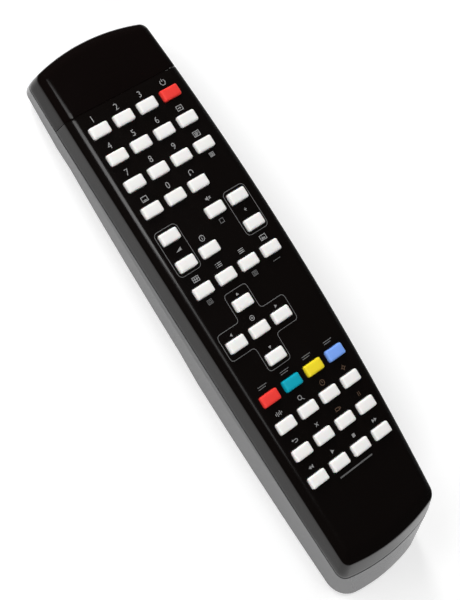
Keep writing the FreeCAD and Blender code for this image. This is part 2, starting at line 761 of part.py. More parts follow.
SCREW_SEAT = rest_level(SCREW_POSTS, "sizes.screw_seat")
bay_pocket = rest_box("bay_pocket", (f"-{BAY_HALF}", BAY_HALF), ("sizes.bay_rear", BAY_FRONT),
                      (f"-{HIGH}", BAY_CEILING))
door_recess = door_plate("door_recess", "-sizes.cut_past", "sizes.bay_floor", "sizes.door_gap",
                         "sizes.door_corner + sizes.door_gap")
tongue_slots = [rest_box(f"tongue_slot_{side}",
                         (f"{place} - sizes.tongue_half_width - sizes.tongue_clearance",
                          f"{place} + sizes.tongue_half_width + sizes.tongue_clearance"),
                         (f"{DOOR_REAR} - sizes.tongue_length - sizes.tongue_clearance",
                          f"{DOOR_REAR} - sizes.tongue_length - sizes.tongue_clearance"
                          " + sizes.slot_length"),
                         ("sizes.slot_ledge", "sizes.rim_height + sizes.cut_past"))
                for side, place in (("left", "-sizes.tongue_offset"), ("right", "sizes.tongue_offset"))]
CELL_PLACES = {"left": "-sizes.cell_spacing / 2", "right": "sizes.cell_spacing / 2"}
tab_slots = [rest_box(f"tab_slot_{side}",
                      (f"{place} - sizes.tab_half_width - sizes.cell_clearance",
                       f"{place} + sizes.tab_half_width + sizes.cell_clearance"),
                      (f"{BAY_FRONT} - sizes.contact_thickness - sizes.cell_clearance",
                       f"{BAY_FRONT} + sizes.cell_clearance"),
                      (f"{BAY_CEILING} - sizes.cut_past",
                       f"{BAY_CEILING} + sizes.bay_roof + sizes.cut_past"))
             for side, place in CELL_PLACES.items()]
counterbores = pair_of_posts("counterbore", "sizes.screw_head_radius + sizes.screw_clearance",
                             SCREW_POSTS, f"-{HIGH}", SCREW_SEAT)
shank_holes = pair_of_posts("shank_hole", "sizes.screw_radius + sizes.screw_clearance",
                            SCREW_POSTS, f"-{HIGH}", "0")
lower_shell = boolean("Part::Cut", "lower_shell", tray,
                      gather("tray_openings", [bay_pocket, door_recess] + tongue_slots + tab_slots
                             + counterbores + shank_holes))


# Battery door: a plate with two rear tongues, a sprung latch finger between two slots, and
# grip grooves across its outer face.

DOOR_TOP = "(sizes.door_lift + sizes.door_thickness)"
door_blank = door_plate("door_blank", "sizes.door_lift", DOOR_TOP, "0", "sizes.door_corner")
tongues = [rest_box(f"tongue_{side}",
                    (f"{place} - sizes.tongue_half_width", f"{place} + sizes.tongue_half_width"),
                    (f"{DOOR_REAR} - sizes.tongue_length", f"{DOOR_REAR} + sizes.tongue_length"),
                    (f"{DOOR_TOP} - sizes.tongue_thickness", DOOR_TOP))
           for side, place in (("left", "-sizes.tongue_offset"), ("right", "sizes.tongue_offset"))]
latch_slots = [rest_box(f"latch_slot_{side}", limits,
                        (f"{DOOR_FRONT} - sizes.latch_length", f"{DOOR_FRONT} + sizes.cut_past"),
                        ("-sizes.cut_past", f"{DOOR_TOP} + sizes.cut_past"))
               for side, limits in (
                   ("left", ("-(sizes.latch_half_width + sizes.latch_slot)", "-sizes.latch_half_width")),
                   ("right", ("sizes.latch_half_width", "sizes.latch_half_width + sizes.latch_slot")))]
grooves = [rest_box(f"grip_groove_{index}",
                    ("-sizes.groove_half_length", "sizes.groove_half_length"),
                    (f"{DOOR_FRONT} - sizes.latch_length - {index} * sizes.groove_pitch",
                     f"{DOOR_FRONT} - sizes.latch_length - {index} * sizes.groove_pitch"
                     " + sizes.groove_width"),
                    ("-sizes.cut_past", "sizes.door_lift + sizes.groove_depth"))
           for index in range(2, 8)]
battery_door = boolean("Part::Cut", "battery_door",
                       boolean("Part::MultiFuse", "door_with_tongues", door_blank, *tongues),
                       gather("door_openings", latch_slots + grooves))


# Round parts are turned about their own axis from half a section.

def turned(name, plane, half_section):
    body = doc.addObject("PartDesign::Body", name)
    sketch = sketch_on(body, f"{name}_section", plane)
    polygon(sketch, half_section)
    feature = body.newObject("PartDesign::Revolution", f"{name}_turned")
    feature.Profile = sketch
    feature.ReferenceAxis = (sketch, ["V_Axis"])
    return body


CELL_LEVEL = "sizes.cell_level"


def make_cell(name):
    can_end = "(sizes.cell_length - sizes.nub_length)"
    return turned(name, "XY_Plane", [
        ("0", "0"), ("sizes.cell_radius", "0"), ("sizes.cell_radius", can_end),
        ("sizes.nub_radius", can_end), ("sizes.nub_radius", "sizes.cell_length"),
        ("0", "sizes.cell_length")])


battery_left = make_cell("battery_left")
stand_on_rest(battery_left, CELL_PLACES["left"],
              "sizes.bay_rear + sizes.contact_thickness + sizes.spring_length", CELL_LEVEL)
battery_right = make_cell("battery_right")
battery_right.Placement.Rotation = FreeCAD.Rotation(V(0, 0, 1), 180)
stand_on_rest(battery_right, CELL_PLACES["right"],
              "sizes.bay_rear + sizes.contact_thickness + sizes.cell_length", CELL_LEVEL)


# Contacts: the rear strip joins the two cells; at the front a sprung strip and a plain strip
# carry the supply up to the board through tabs.

CONTACT_LOW = f"{CELL_LEVEL} - sizes.contact_half_width"
CONTACT_HIGH = f"{CELL_LEVEL} + sizes.contact_half_width"


def leaf(name, place, start, sign):
    """A leaf spring bowed out of a contact strip, towards the cell."""
    body = doc.addObject("PartDesign::Body", name)
    stand_on_rest(body, place, start, CELL_LEVEL)
    reach = "(sizes.spring_length - sizes.spring_end_gap)"
    root = "sizes.contact_thickness / 2"
    inner = "(sizes.spring_root - 1.5 * sizes.contact_thickness)"
    crest = "(sizes.spring_crown - sizes.contact_thickness / 2)"
    outline = [(f"-{root}", "-sizes.spring_root"), (reach, "-sizes.spring_crown"),
               (reach, "sizes.spring_crown"), (f"-{root}", "sizes.spring_root"),
               (f"-{root}", inner), (f"{reach} - sizes.contact_thickness", crest),
               (f"{reach} - sizes.contact_thickness", f"-{crest}"), (f"-{root}", f"-{inner}")]
    bow = sketch_on(body, f"{name}_bow", "YZ_Plane")
    polygon(bow, [(f"{sign} * ({y})", z) for y, z in outline])
    spring = pad(body, bow, f"{name}_leaf", "sizes.spring_width")
    spring.Midplane = True
    return body


def strip(name, x, y):
    return rest_box(name, x, y, (CONTACT_LOW, CONTACT_HIGH))


def board_tab(name, place):
    """The tab of a front strip that rises through the bay roof to the board."""
    return rest_box(name, (f"{place} - sizes.tab_half_width", f"{place} + sizes.tab_half_width"),
                    (f"{BAY_FRONT} - sizes.contact_thickness", BAY_FRONT),
                    (CELL_LEVEL, f"{BAY_CEILING} + sizes.bay_roof + sizes.contact_gap"))


def around(place):
    return f"{place} - sizes.contact_half_width", f"{place} + sizes.contact_half_width"


REAR_STRIP = ("sizes.bay_rear", "sizes.bay_rear + sizes.contact_thickness")
FRONT_STRIP = (f"{BAY_FRONT} - sizes.contact_thickness", BAY_FRONT)
link_contact = boolean("Part::MultiFuse", "link_contact",
                       strip("link_strip", (around(CELL_PLACES["left"])[0],
                                            around(CELL_PLACES["right"])[1]), REAR_STRIP),
                       leaf("link_spring", CELL_PLACES["left"], REAR_STRIP[1], 1))
plate_contact = boolean("Part::MultiFuse", "plate_contact",
                        strip("plate_strip", around(CELL_PLACES["left"]), FRONT_STRIP),
                        board_tab("plate_tab", CELL_PLACES["left"]))
spring_contact = boolean("Part::MultiFuse", "spring_contact",
                         strip("spring_strip", around(CELL_PLACES["right"]), FRONT_STRIP),
                         board_tab("spring_tab", CELL_PLACES["right"]),
                         leaf("supply_spring", CELL_PLACES["right"], FRONT_STRIP[0], -1))


# Circuit board, with holes for the posts that pass or press it.

board_blank = deck_box("board_blank", ("-sizes.board_half_width", "sizes.board_half_width"),
                       ("sizes.board_rear", "sizes.board_front"), (BOARD_UNDERSIDE, "0"))
board_holes = pair_of_posts("board_hole", SCREW_POST_HOLE, SCREW_POSTS,
                            f"{BOARD_UNDERSIDE} - sizes.cut_past", "sizes.cut_past")
circuit_board = boolean("Part::Cut", "circuit_board", board_blank, gather("board_cuts", board_holes))


# Rubber sheet that lies on the board under the keys' stems, with openings for the posts.

GRID_END = "(sizes.grid_half_length + sizes.sheet_margin)"
SHEET_CUT = ("-sizes.cut_past", "sizes.sheet_thickness + sizes.cut_past")
sheet_blank = deck_box("sheet_blank", ("-sizes.sheet_half_width", "sizes.sheet_half_width"),
                       (f"-{GRID_END}", GRID_END), ("0", "sizes.sheet_thickness"))
sheet_openings = []
for clamp, post_y in CLAMPS.items():
    sheet_openings += pair_of_columns(f"sheet_opening_{clamp}", POST_HOLE, post_y, *SHEET_CUT)
sheet_openings += pair_of_posts("sheet_opening_screw", SCREW_POST_HOLE, SCREW_POSTS, *SHEET_CUT)
keypad_sheet = boolean("Part::Cut", "keypad_sheet", sheet_blank, gather("sheet_cuts", sheet_openings))


# Infra-red lamp at the front edge of the board, its leads lying on the board.

lamp = turned("lamp_turned", "XY_Plane", [
    ("0", "0"), ("sizes.lamp_radius", "0"),
    ("sizes.lamp_radius", "sizes.lamp_front - sizes.lamp_rear - sizes.lamp_radius / 2"),
    ("sizes.lamp_radius / 2", "sizes.lamp_front - sizes.lamp_rear"),
    ("0", "sizes.lamp_front - sizes.lamp_rear")])
stand_on_deck(lamp, "0", "sizes.lamp_rear", "sizes.lamp_level")
leads = [deck_box(f"lead_{side}",
                  (f"{place} - sizes.lead_size / 2", f"{place} + sizes.lead_size / 2"),
                  ("sizes.lead_rear", "sizes.lamp_rear + sizes.lead_size"),
                  ("sizes.lamp_level - sizes.lead_size / 2", "sizes.lamp_level + sizes.lead_size / 2"))
         for side, place in (("left", "-sizes.lead_spacing / 2"), ("right", "sizes.lead_spacing / 2"))]
ir_led = boolean("Part::MultiFuse", "ir_led", lamp, *leads)


# Controller chip under the board: a block with ten bent pins on each long side.

PINS_PER_SIDE = range(10)
MIDDLE_PIN = 4.5
CHIP_TOP = f"({BOARD_UNDERSIDE} - sizes.chip_stand_off)"
chip_block = deck_box("chip_block", ("-sizes.chip_length / 2", "sizes.chip_length / 2"),
                      ("sizes.chip_forward - sizes.chip_width / 2",
                       "sizes.chip_forward + sizes.chip_width / 2"),
                      (f"{CHIP_TOP} - sizes.chip_height", CHIP_TOP))
pins = []
for pin in PINS_PER_SIDE:
    pin_x = f"({pin - MIDDLE_PIN} * sizes.pin_pitch)"
    pin_width = (f"{pin_x} - sizes.pin_width / 2", f"{pin_x} + sizes.pin_width / 2")
    for side, sign in (("front", "1"), ("rear", "-1")):
        root = f"(sizes.chip_forward + {sign} * sizes.chip_width / 2)"
        heel = f"({root} + {sign} * sizes.pin_thickness)"
        toe = f"({root} + {sign} * (sizes.pin_thickness + sizes.pin_foot))"
        inner, outer, tip = (root, heel, toe) if sign == "1" else (heel, root, toe)
        leg_y = (inner, outer)
        foot_y = (heel, tip) if sign == "1" else (tip, heel)
        pins.append(deck_box(f"pin_leg_{side}_{pin}", pin_width, leg_y,
                             (f"{CHIP_TOP} - sizes.pin_root", BOARD_UNDERSIDE)))
        pins.append(deck_box(f"pin_foot_{side}_{pin}", pin_width, foot_y,
                             (f"{BOARD_UNDERSIDE} - sizes.pin_thickness", BOARD_UNDERSIDE)))
controller_chip = boolean("Part::MultiFuse", "controller_chip", chip_block, *pins)


# Two self-tapping screws from below, heads down, with a crossed recess.

right_screw = turned("right_screw", "XZ_Plane", [
    ("0", "-sizes.screw_head_height"), ("sizes.screw_head_radius", "-sizes.screw_head_height"),
    ("sizes.screw_head_radius", "0"),
    ("sizes.screw_radius", "0"), ("sizes.screw_radius", "sizes.screw_length - sizes.screw_radius"),
    ("0", "sizes.screw_length")])
for slot, (slot_x, slot_y) in enumerate((("sizes.cross_length", "sizes.cross_width"),
                                         ("sizes.cross_width", "sizes.cross_length"))):
    cross = sketch_on(right_screw, f"cross_outline_{slot}", "XY_Plane", "-sizes.screw_head_height")
    rectangle(cross, f"-({slot_x}) / 2", f"({slot_x}) / 2", f"-({slot_y}) / 2", f"({slot_y}) / 2")
    recess = right_screw.newObject("PartDesign::Pocket", f"cross_{slot}")
    recess.Profile = cross
    recess.Midplane = True
    bind(recess, "Length", "2 * sizes.cross_depth")
stand_on_deck(right_screw, SIDES["right"], SCREW_POSTS, SCREW_SEAT)
left_screw = doc.addObject("Part::Mirroring", "left_screw")
left_screw.Source = right_screw
left_screw.Normal = V(1, 0, 0)
case_screws = gather("case_screws", [left_screw, right_screw])
doc.recompute()


# Every feature must have computed, and every part must be sound, before the files are written.

parts = keys + [upper_shell, ir_window, lower_shell, battery_door, battery_left, battery_right,
                link_contact, plate_contact, spring_contact, circuit_board, keypad_sheet, ir_led,
                controller_chip, case_screws]
broken = [item.Label for item in doc.Objects if "Invalid" in item.State or "Error" in item.State]
unsound = [part.Label for part in parts if not part.Shape.isValid() or part.Shape.Volume <= 0]
if broken or unsound:
    raise RuntimeError(f"features not computed: {broken}; parts not sound: {unsound}")
os.makedirs("parts", exist_ok=True)
for part in parts:
    part.Shape.exportStep(f"parts/{part.Label}.step")
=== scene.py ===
import math

import bmesh
import bpy
from mathutils import Matrix, Quaternion, Vector
from mathutils.geometry import delaunay_2d_cdt


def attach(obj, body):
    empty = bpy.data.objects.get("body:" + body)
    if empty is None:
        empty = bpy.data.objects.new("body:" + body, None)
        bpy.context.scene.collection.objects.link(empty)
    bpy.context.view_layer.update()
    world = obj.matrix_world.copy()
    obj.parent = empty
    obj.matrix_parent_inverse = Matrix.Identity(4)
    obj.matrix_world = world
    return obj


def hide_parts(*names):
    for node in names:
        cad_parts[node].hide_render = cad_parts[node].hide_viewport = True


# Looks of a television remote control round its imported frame.
# Shapes are worked out in millimetres on the keypad deck, the leaning plane of the circuit
# board's top: X across the face, Y towards the infra-red end, Z up out of the face.

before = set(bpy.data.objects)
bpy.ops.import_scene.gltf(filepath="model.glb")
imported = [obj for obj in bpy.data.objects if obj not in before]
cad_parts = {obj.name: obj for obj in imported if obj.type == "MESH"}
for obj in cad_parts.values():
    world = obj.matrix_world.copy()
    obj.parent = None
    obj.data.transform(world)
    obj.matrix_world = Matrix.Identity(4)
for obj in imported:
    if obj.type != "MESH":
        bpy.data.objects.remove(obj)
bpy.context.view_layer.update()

MM_PER_METRE = 1000.0
STANCE = math.radians(2.07)
DECK_FORWARD = 7.52
DECK_HEIGHT = 13.297
DECK = (Matrix.Translation((0, DECK_FORWARD / MM_PER_METRE, DECK_HEIGHT / MM_PER_METRE))
        @ Matrix.Rotation(-STANCE, 4, "X") @ Matrix.Scale(1 / MM_PER_METRE, 4))

COLUMN_PITCH = 9.8
ROW_PITCH = 9.9
FACE_RISE = 7.8
FACE_RADIUS = 1180.0
SEAM_DROP = 8.2
CASE_WALL = 1.8
BEVEL_WIDTH = 2.6
BEVEL_DEPTH = 1.3
WINDOW_SPLIT = 71.6
WINDOW_GAP = 0.1
KEY_LENGTH = 7.0
KEY_WIDTH = 3.9
KEY_RISE = 1.25
KEY_CORNER = 0.6
OPENING_CLEARANCE = 0.2

KEY_NAMES = [
    ("digit_1", "digit_2", "digit_3", "power"),
    ("digit_4", "digit_5", "digit_6", "source"),
    ("digit_7", "digit_8", "digit_9", "text"),
    ("subtitle", "digit_0", "recall", None),
    ("volume_up", None, "mute", "channel_up"),
    ("volume_down", "info", None, "channel_down"),
    ("guide", "list", "menu", "picture"),
    (None, "up", None, None),
    ("left", "enter", "right", None),
    (None, "down", None, None),
    ("red", "green", "yellow", "blue"),
    ("audio", "zoom", "timer", "tools"),
    ("return", "exit", "usb", "still"),
    ("rewind", "play", "stop", "forward"),
]


def key_places():
    """Name and deck place of every key."""
    for row, names in enumerate(KEY_NAMES):
        for column, name in enumerate(names):
            if name:
                yield name, (column - 1.5) * COLUMN_PITCH, (6.5 - row) * ROW_PITCH


def arch(y, drop=0.0):
    """Deck height of the face's arch, or of one that lies a drop under it."""
    return FACE_RISE - FACE_RADIUS + math.sqrt((FACE_RADIUS - drop) ** 2 - y * y)


def arch_normal(y):
    slope = y / FACE_RADIUS
    return (DECK.to_3x3() @ Vector((0, slope, math.sqrt(1 - slope * slope)))).normalized()


# Plan outline of the case: four bowed edges with round corners, drawn in by an inset. The case
# is ruled between three such outlines, so one at any level lies between two of them.

FRONT_REACH = 92.2
FRONT_HALF_WIDTH = 22.95
FRONT_BOW = 3.4
CHIN_REACH = 107.0
CHIN_DEPTH = 15.6
RAKE = math.radians(32)
REAR_HALF_WIDTH = 21.8
REAR_BOW = 3.0
SIDE_BOW = 2.37
WIDEST_LEVEL = -2.5
LOFT_TOP = 10.0
LOFT_BOTTOM = -22.0
TOP_DRAW = 0.85
BOTTOM_DRAW = 2.3
FRONT_CORNERS = {"low": 5.0, "wide": 3.1, "high": 3.1}
REAR_CORNERS = {"low": 12.0, "wide": 3.8, "high": 3.4}
LEAST_CORNER = 0.4
EDGE_STEPS = (28, 10, 56, 12, 28, 12, 56, 10)


def bow_radius(half_chord, bow):
    return (half_chord ** 2 + bow ** 2) / (2 * bow)


def inner_touch(centre_a, reach_a, centre_b, reach_b, near):
    """Where two circles round the centres cross, nearest to a point."""
    apart = centre_b - centre_a
    along = (reach_a ** 2 - reach_b ** 2 + apart.length ** 2) / (2 * apart.length)
    aside = math.sqrt(reach_a ** 2 - along ** 2)
    direction = apart.normalized()
    across = Vector((-direction.y, direction.x))
    choices = [centre_a + direction * along + across * aside * side for side in (1, -1)]
    return min(choices, key=lambda point: (point - near).length)


def arc_points(centre, radius, start, end, steps):
    """Points along the short arc from start up to, but without, end."""
    first = math.atan2(start.y - centre.y, start.x - centre.x)
    turn = math.atan2(end.y - centre.y, end.x - centre.x) - first
    turn = (turn + math.pi) % (2 * math.pi) - math.pi
    return [centre + radius * Vector((math.cos(first + turn * step / steps),
                                      math.sin(first + turn * step / steps)))
            for step in range(steps)]


def section(which, level, draw, inset):
    """The outline's points at one of the three ruled levels."""
    front = Vector((FRONT_HALF_WIDTH - draw, FRONT_REACH - FRONT_BOW))
    rear = Vector((REAR_HALF_WIDTH - draw,
                   REAR_BOW - CHIN_REACH + (level + CHIN_DEPTH) * math.tan(RAKE)))
    span = (front - rear).length
    front_radius = bow_radius(front.x, FRONT_BOW)
    rear_radius = bow_radius(rear.x, REAR_BOW)
    side_radius = bow_radius(span / 2, SIDE_BOW)
    reach = (side_radius - SIDE_BOW) / span
    side = Vector(((front.x + rear.x) / 2 - (front.y - rear.y) * reach,
                   (front.y + rear.y) / 2 + (front.x - rear.x) * reach))
    bows = [(Vector((0, front.y + FRONT_BOW - front_radius)), front_radius - inset),
            (Vector((-side.x, side.y)), side_radius - inset),
            (Vector((0, rear.y - REAR_BOW + rear_radius)), rear_radius - inset / math.cos(RAKE)),
            (side, side_radius - inset)]
    corners = [Vector((-front.x, front.y)), Vector((-rear.x, rear.y)), rear, front]
    front_round = max(FRONT_CORNERS[which] - inset, LEAST_CORNER)
    rear_round = max(REAR_CORNERS[which] - inset, LEAST_CORNER)
    rounds = [front_round, rear_round, rear_round, front_round]
    centres = []
    for index in range(4):
        centre_a, radius_a = bows[index]
        centre_b, radius_b = bows[(index + 1) % 4]
        centres.append(inner_touch(centre_a, radius_a - rounds[index],
                                   centre_b, radius_b - rounds[index], corners[index]))
    points = []
    for index in range(4):
        centre, radius = bows[index]
        following, following_radius = bows[(index + 1) % 4]
        start = centre + (centres[index - 1] - centre).normalized() * radius
        end = centre + (centres[index] - centre).normalized() * radius
        corner_end = following + (centres[index] - following).normalized() * following_radius
        points += arc_points(centre, radius, start, end, EDGE_STEPS[2 * index])
        points += arc_points(centres[index], rounds[index], end, corner_end, EDGE_STEPS[2 * index + 1])
    return points


sections = {}


def outline_point(index, inset, z):
    if inset not in sections:
        sections[inset] = (section("low", LOFT_BOTTOM, BOTTOM_DRAW, inset),
                           section("wide", WIDEST_LEVEL, 0, inset),
                           section("high", LOFT_TOP, TOP_DRAW, inset))
    low, wide, high = sections[inset]
    if z > WIDEST_LEVEL:
        return wide[index].lerp(high[index], (z - WIDEST_LEVEL) / (LOFT_TOP - WIDEST_LEVEL))
    return low[index].lerp(wide[index], (z - LOFT_BOTTOM) / (WIDEST_LEVEL - LOFT_BOTTOM))


def wall_ring(inset, level):
    """A closed ring of deck points on the case's outline, each at the level of its own y."""
    ring = []
    for index in range(sum(EDGE_STEPS)):
        z = 0.0
        for _ in range(6):
            flat = outline_point(index, inset, z)
            z = level(flat.y)
        ring.append(Vector((flat.x, flat.y, z)))
    return ring


def arch_ring(inset, drop):
    return wall_ring(inset, lambda y: arch(y, drop))


# Mesh building on the deck.

def add_ring(bm, points):
    return [bm.verts.new(point) for point in points]


def join_rings(bm, first, second):
    """Quads between two rings of equal length; the second lies outward or down."""
    count = len(first)
    for index in range(count):
        following = (index + 1) % count
        bm.faces.new((first[index], second[index], second[following], first[following]))


def fill_sheet(bm, border, holes, inside_hole, upward=True):
    """Triangles between a border ring and hole rings, all of them mesh vertices."""
    rings = [border] + holes
    verts = [vert for ring in rings for vert in ring]
    edges = []
    first = 0
    for ring in rings:
        edges += [(first + step, first + (step + 1) % len(ring)) for step in range(len(ring))]
        first += len(ring)
    flat = [Vector((vert.co.x, vert.co.y)) for vert in verts]
    _, _, triangles, sources, _, _ = delaunay_2d_cdt(flat, edges, [], 1, 1e-6)
    source = [min(group) for group in sources]
    for face in triangles:
        corners = [verts[source[corner]] for corner in face]
        middle = sum((corner.co for corner in corners), Vector()) / len(corners)
        if inside_hole(middle):
            continue
        bm.faces.new(corners if upward else corners[::-1])


def soft_rectangle(cx, cy, half_x, half_y, radius, steps=6):
    """Points of a rectangle with round corners, counter-clockwise."""
    points = []
    for quarter, (side_x, side_y) in enumerate(((1, 1), (-1, 1), (-1, -1), (1, -1))):
        centre = Vector((cx + side_x * (half_x - radius), cy + side_y * (half_y - radius)))
        for step in range(steps + 1):
            angle = math.pi / 2 * (quarter + step / steps)
            points.append(centre + radius * Vector((math.cos(angle), math.sin(angle))))
    return points


def new_object(name, bm, matrix=DECK):
    bm.transform(matrix)
    mesh = bpy.data.meshes.new(name)
    bm.to_mesh(mesh)
    bm.free()
    mesh.shade_smooth()
    item = bpy.data.objects.new(name, mesh)
    bpy.context.scene.collection.objects.link(item)
    return item


def give(item, material):
    item.data.materials.clear()
    item.data.materials.append(material)


def sharpen(item, degrees):
    """Marks the mesh's steep edges sharp, so that only gentle ones are shaded smooth."""
    item.data.set_sharp_from_angle(angle=math.radians(degrees))


# Shader node groups that more than one material uses.

def new_group(name, inputs, outputs):
    group = bpy.data.node_groups.new(name, "ShaderNodeTree")
    for label, value in inputs:
        socket = group.interface.new_socket(label, in_out="INPUT", socket_type="NodeSocketFloat")
        socket.default_value = value
    for label, kind in outputs:
        group.interface.new_socket(label, in_out="OUTPUT", socket_type=kind)
    start = group.nodes.new("NodeGroupInput")
    end = group.nodes.new("NodeGroupOutput")
    return group, start, end


def moulded_grain():
    """The fine spark-eroded texture of moulded plastic, as a normal and a mask."""
    group, start, end = new_group("moulded_grain",
                                  [("Grain size mm", 0.25), ("Depth", 0.1)],
                                  [("Normal", "NodeSocketVector"), ("Mask", "NodeSocketFloat")])
    nodes, links = group.nodes, group.links
    place = nodes.new("ShaderNodeTexCoord")
    density = nodes.new("ShaderNodeMath")
    density.operation = "DIVIDE"
    density.inputs[0].default_value = MM_PER_METRE
    noise = nodes.new("ShaderNodeTexNoise")
    noise.inputs["Detail"].default_value = 3.0
    noise.inputs["Roughness"].default_value = 0.6
    bump = nodes.new("ShaderNodeBump")
    bump.inputs["Distance"].default_value = 0.0001
    links.new(start.outputs["Grain size mm"], density.inputs[1])
    links.new(place.outputs["Object"], noise.inputs["Vector"])
    links.new(density.outputs[0], noise.inputs["Scale"])
    links.new(noise.outputs["Fac"], bump.inputs["Height"])
    links.new(start.outputs["Depth"], bump.inputs["Strength"])
    links.new(bump.outputs["Normal"], end.inputs["Normal"])
    links.new(noise.outputs["Fac"], end.inputs["Mask"])
    return group


def handling_wear():
    """Cloudy patches where hands polish a surface and dust settles, as a mask."""
    group, start, end = new_group("handling_wear",
                                  [("Patch size mm", 14.0), ("Contrast", 0.5)],
                                  [("Mask", "NodeSocketFloat")])
    nodes, links = group.nodes, group.links
    place = nodes.new("ShaderNodeTexCoord")
    density = nodes.new("ShaderNodeMath")
    density.operation = "DIVIDE"
    density.inputs[0].default_value = MM_PER_METRE
    noise = nodes.new("ShaderNodeTexNoise")
    noise.inputs["Detail"].default_value = 5.0
    noise.inputs["Distortion"].default_value = 0.4
    spread = nodes.new("ShaderNodeMapRange")
    spread.inputs["From Min"].default_value = 0.35
    spread.inputs["From Max"].default_value = 0.65
    links.new(start.outputs["Patch size mm"], density.inputs[1])
    links.new(place.outputs["Object"], noise.inputs["Vector"])
    links.new(density.outputs[0], noise.inputs["Scale"])
    links.new(noise.outputs["Fac"], spread.inputs["Value"])
    links.new(start.outputs["Contrast"], spread.inputs["To Max"])
    links.new(spread.outputs["Result"], end.inputs["Mask"])
    return group


GRAIN = moulded_grain()
WEAR = handling_wear()


def new_material(name):
    material = bpy.data.materials.new(name)
    material.use_nodes = True
    tree = material.node_tree
    return material, tree.nodes, tree.links, tree.nodes["Principled BSDF"]


def place_group(nodes, group, **values):
    """A shared group in a material. Its inputs are named by the first word of their labels."""
    node = nodes.new("ShaderNodeGroup")
    node.node_tree = group
    for socket in node.inputs:
        word = socket.name.split()[0].lower()
        if word in values:
            socket.default_value = values[word]
    return node


def handled_sheen(nodes, links, shader, roughness, worn):
    """Roughness that rises where the surface is handled or dusty."""
    sheen = nodes.new("ShaderNodeMath")
    sheen.operation = "ADD"
    sheen.inputs[1].default_value = roughness
    links.new(worn.outputs["Mask"], sheen.inputs[0])
    links.new(sheen.outputs[0], shader.inputs["Roughness"])


def plastic(name, color, roughness, grain_mm=0.25, grain_depth=0.1, wear=0.06, specular=0.5):
    """Moulded plastic: colour, sheen varied by handling, and a fine grain."""
    material, nodes, links, shader = new_material(name)
    shader.inputs["Base Color"].default_value = (*color, 1)
    shader.inputs["Specular IOR Level"].default_value = specular
    grain = place_group(nodes, GRAIN, grain=grain_mm, depth=grain_depth)
    worn = place_group(nodes, WEAR, contrast=wear)
    handled_sheen(nodes, links, shader, roughness, worn)
    links.new(grain.outputs["Normal"], shader.inputs["Normal"])
    return material


DUSTY_SHADE = 0.82


def rubber(name, color):
    """Silicone rubber for the keys: soft, slightly see-through and a little dusty."""
    material, nodes, links, shader = new_material(name)
    shader.inputs["Roughness"].default_value = 0.42
    shader.inputs["Specular IOR Level"].default_value = 0.3
    shader.inputs["Subsurface Weight"].default_value = 0.08
    shader.inputs["Subsurface Scale"].default_value = 0.001
    worn = place_group(nodes, WEAR, patch=4.0, contrast=0.12)
    tint = nodes.new("ShaderNodeMix")
    tint.data_type = "RGBA"
    tint.inputs["A"].default_value = (*color, 1)
    tint.inputs["B"].default_value = (*[DUSTY_SHADE * part for part in color], 1)
    grain = place_group(nodes, GRAIN, depth=0.05)
    links.new(worn.outputs["Mask"], tint.inputs["Factor"])
    links.new(tint.outputs["Result"], shader.inputs["Base Color"])
    links.new(grain.outputs["Normal"], shader.inputs["Normal"])
    return material


def metal(name, color, roughness):
    """Plated sheet metal and screws, slightly dulled in patches."""
    material, nodes, links, shader = new_material(name)
    shader.inputs["Base Color"].default_value = (*color, 1)
    shader.inputs["Metallic"].default_value = 1.0
    worn = place_group(nodes, WEAR, patch=3.0, contrast=0.15)
    handled_sheen(nodes, links, shader, roughness, worn)
    return material


# The batteries' sleeve: its colours, the stretch along Y over which its bands are laid out,
# and where on that stretch the light band starts and ends.
SLEEVE_DARK = (0.02, 0.09, 0.08, 1)
SLEEVE_LIGHT = (0.55, 0.56, 0.2, 1)
SLEEVE_REAR = -87.6
SLEEVE_FRONT = -38.9
LIGHT_BAND = (0.24, 0.76)
TINNED_END = (0.6, 0.6, 0.58, 1)
END_FACING = 0.7


def cell_sleeve():
    """The batteries: a dark sleeve with a light band round its middle, and bare tinned ends."""
    material, nodes, links, shader = new_material("cell_sleeve")
    place = nodes.new("ShaderNodeTexCoord")
    axes = nodes.new("ShaderNodeSeparateXYZ")
    spread = nodes.new("ShaderNodeMapRange")
    spread.inputs["From Min"].default_value = SLEEVE_REAR / MM_PER_METRE
    spread.inputs["From Max"].default_value = SLEEVE_FRONT / MM_PER_METRE
    bands = nodes.new("ShaderNodeValToRGB")
    bands.color_ramp.interpolation = "CONSTANT"
    bands.color_ramp.elements[0].color = SLEEVE_DARK
    bands.color_ramp.elements[1].position = LIGHT_BAND[0]
    bands.color_ramp.elements[1].color = SLEEVE_LIGHT
    bands.color_ramp.elements.new(LIGHT_BAND[1]).color = SLEEVE_DARK
    facing = nodes.new("ShaderNodeSeparateXYZ")
    steep = nodes.new("ShaderNodeMath")
    steep.operation = "ABSOLUTE"
    end = nodes.new("ShaderNodeMath")
    end.operation = "GREATER_THAN"
    end.inputs[1].default_value = END_FACING
    cover = nodes.new("ShaderNodeMix")
    cover.data_type = "RGBA"
    cover.inputs["B"].default_value = TINNED_END
    worn = place_group(nodes, WEAR, patch=5.0, contrast=0.15)
    handled_sheen(nodes, links, shader, 0.22, worn)
    links.new(place.outputs["Object"], axes.inputs["Vector"])
    links.new(axes.outputs["Y"], spread.inputs["Value"])
    links.new(spread.outputs["Result"], bands.inputs["Fac"])
    links.new(place.outputs["Normal"], facing.inputs["Vector"])
    links.new(facing.outputs["Y"], steep.inputs[0])
    links.new(steep.outputs[0], end.inputs[0])
    links.new(end.outputs[0], cover.inputs["Factor"])
    links.new(bands.outputs["Color"], cover.inputs["A"])
    links.new(cover.outputs["Result"], shader.inputs["Base Color"])
    links.new(end.outputs[0], shader.inputs["Metallic"])
    return material


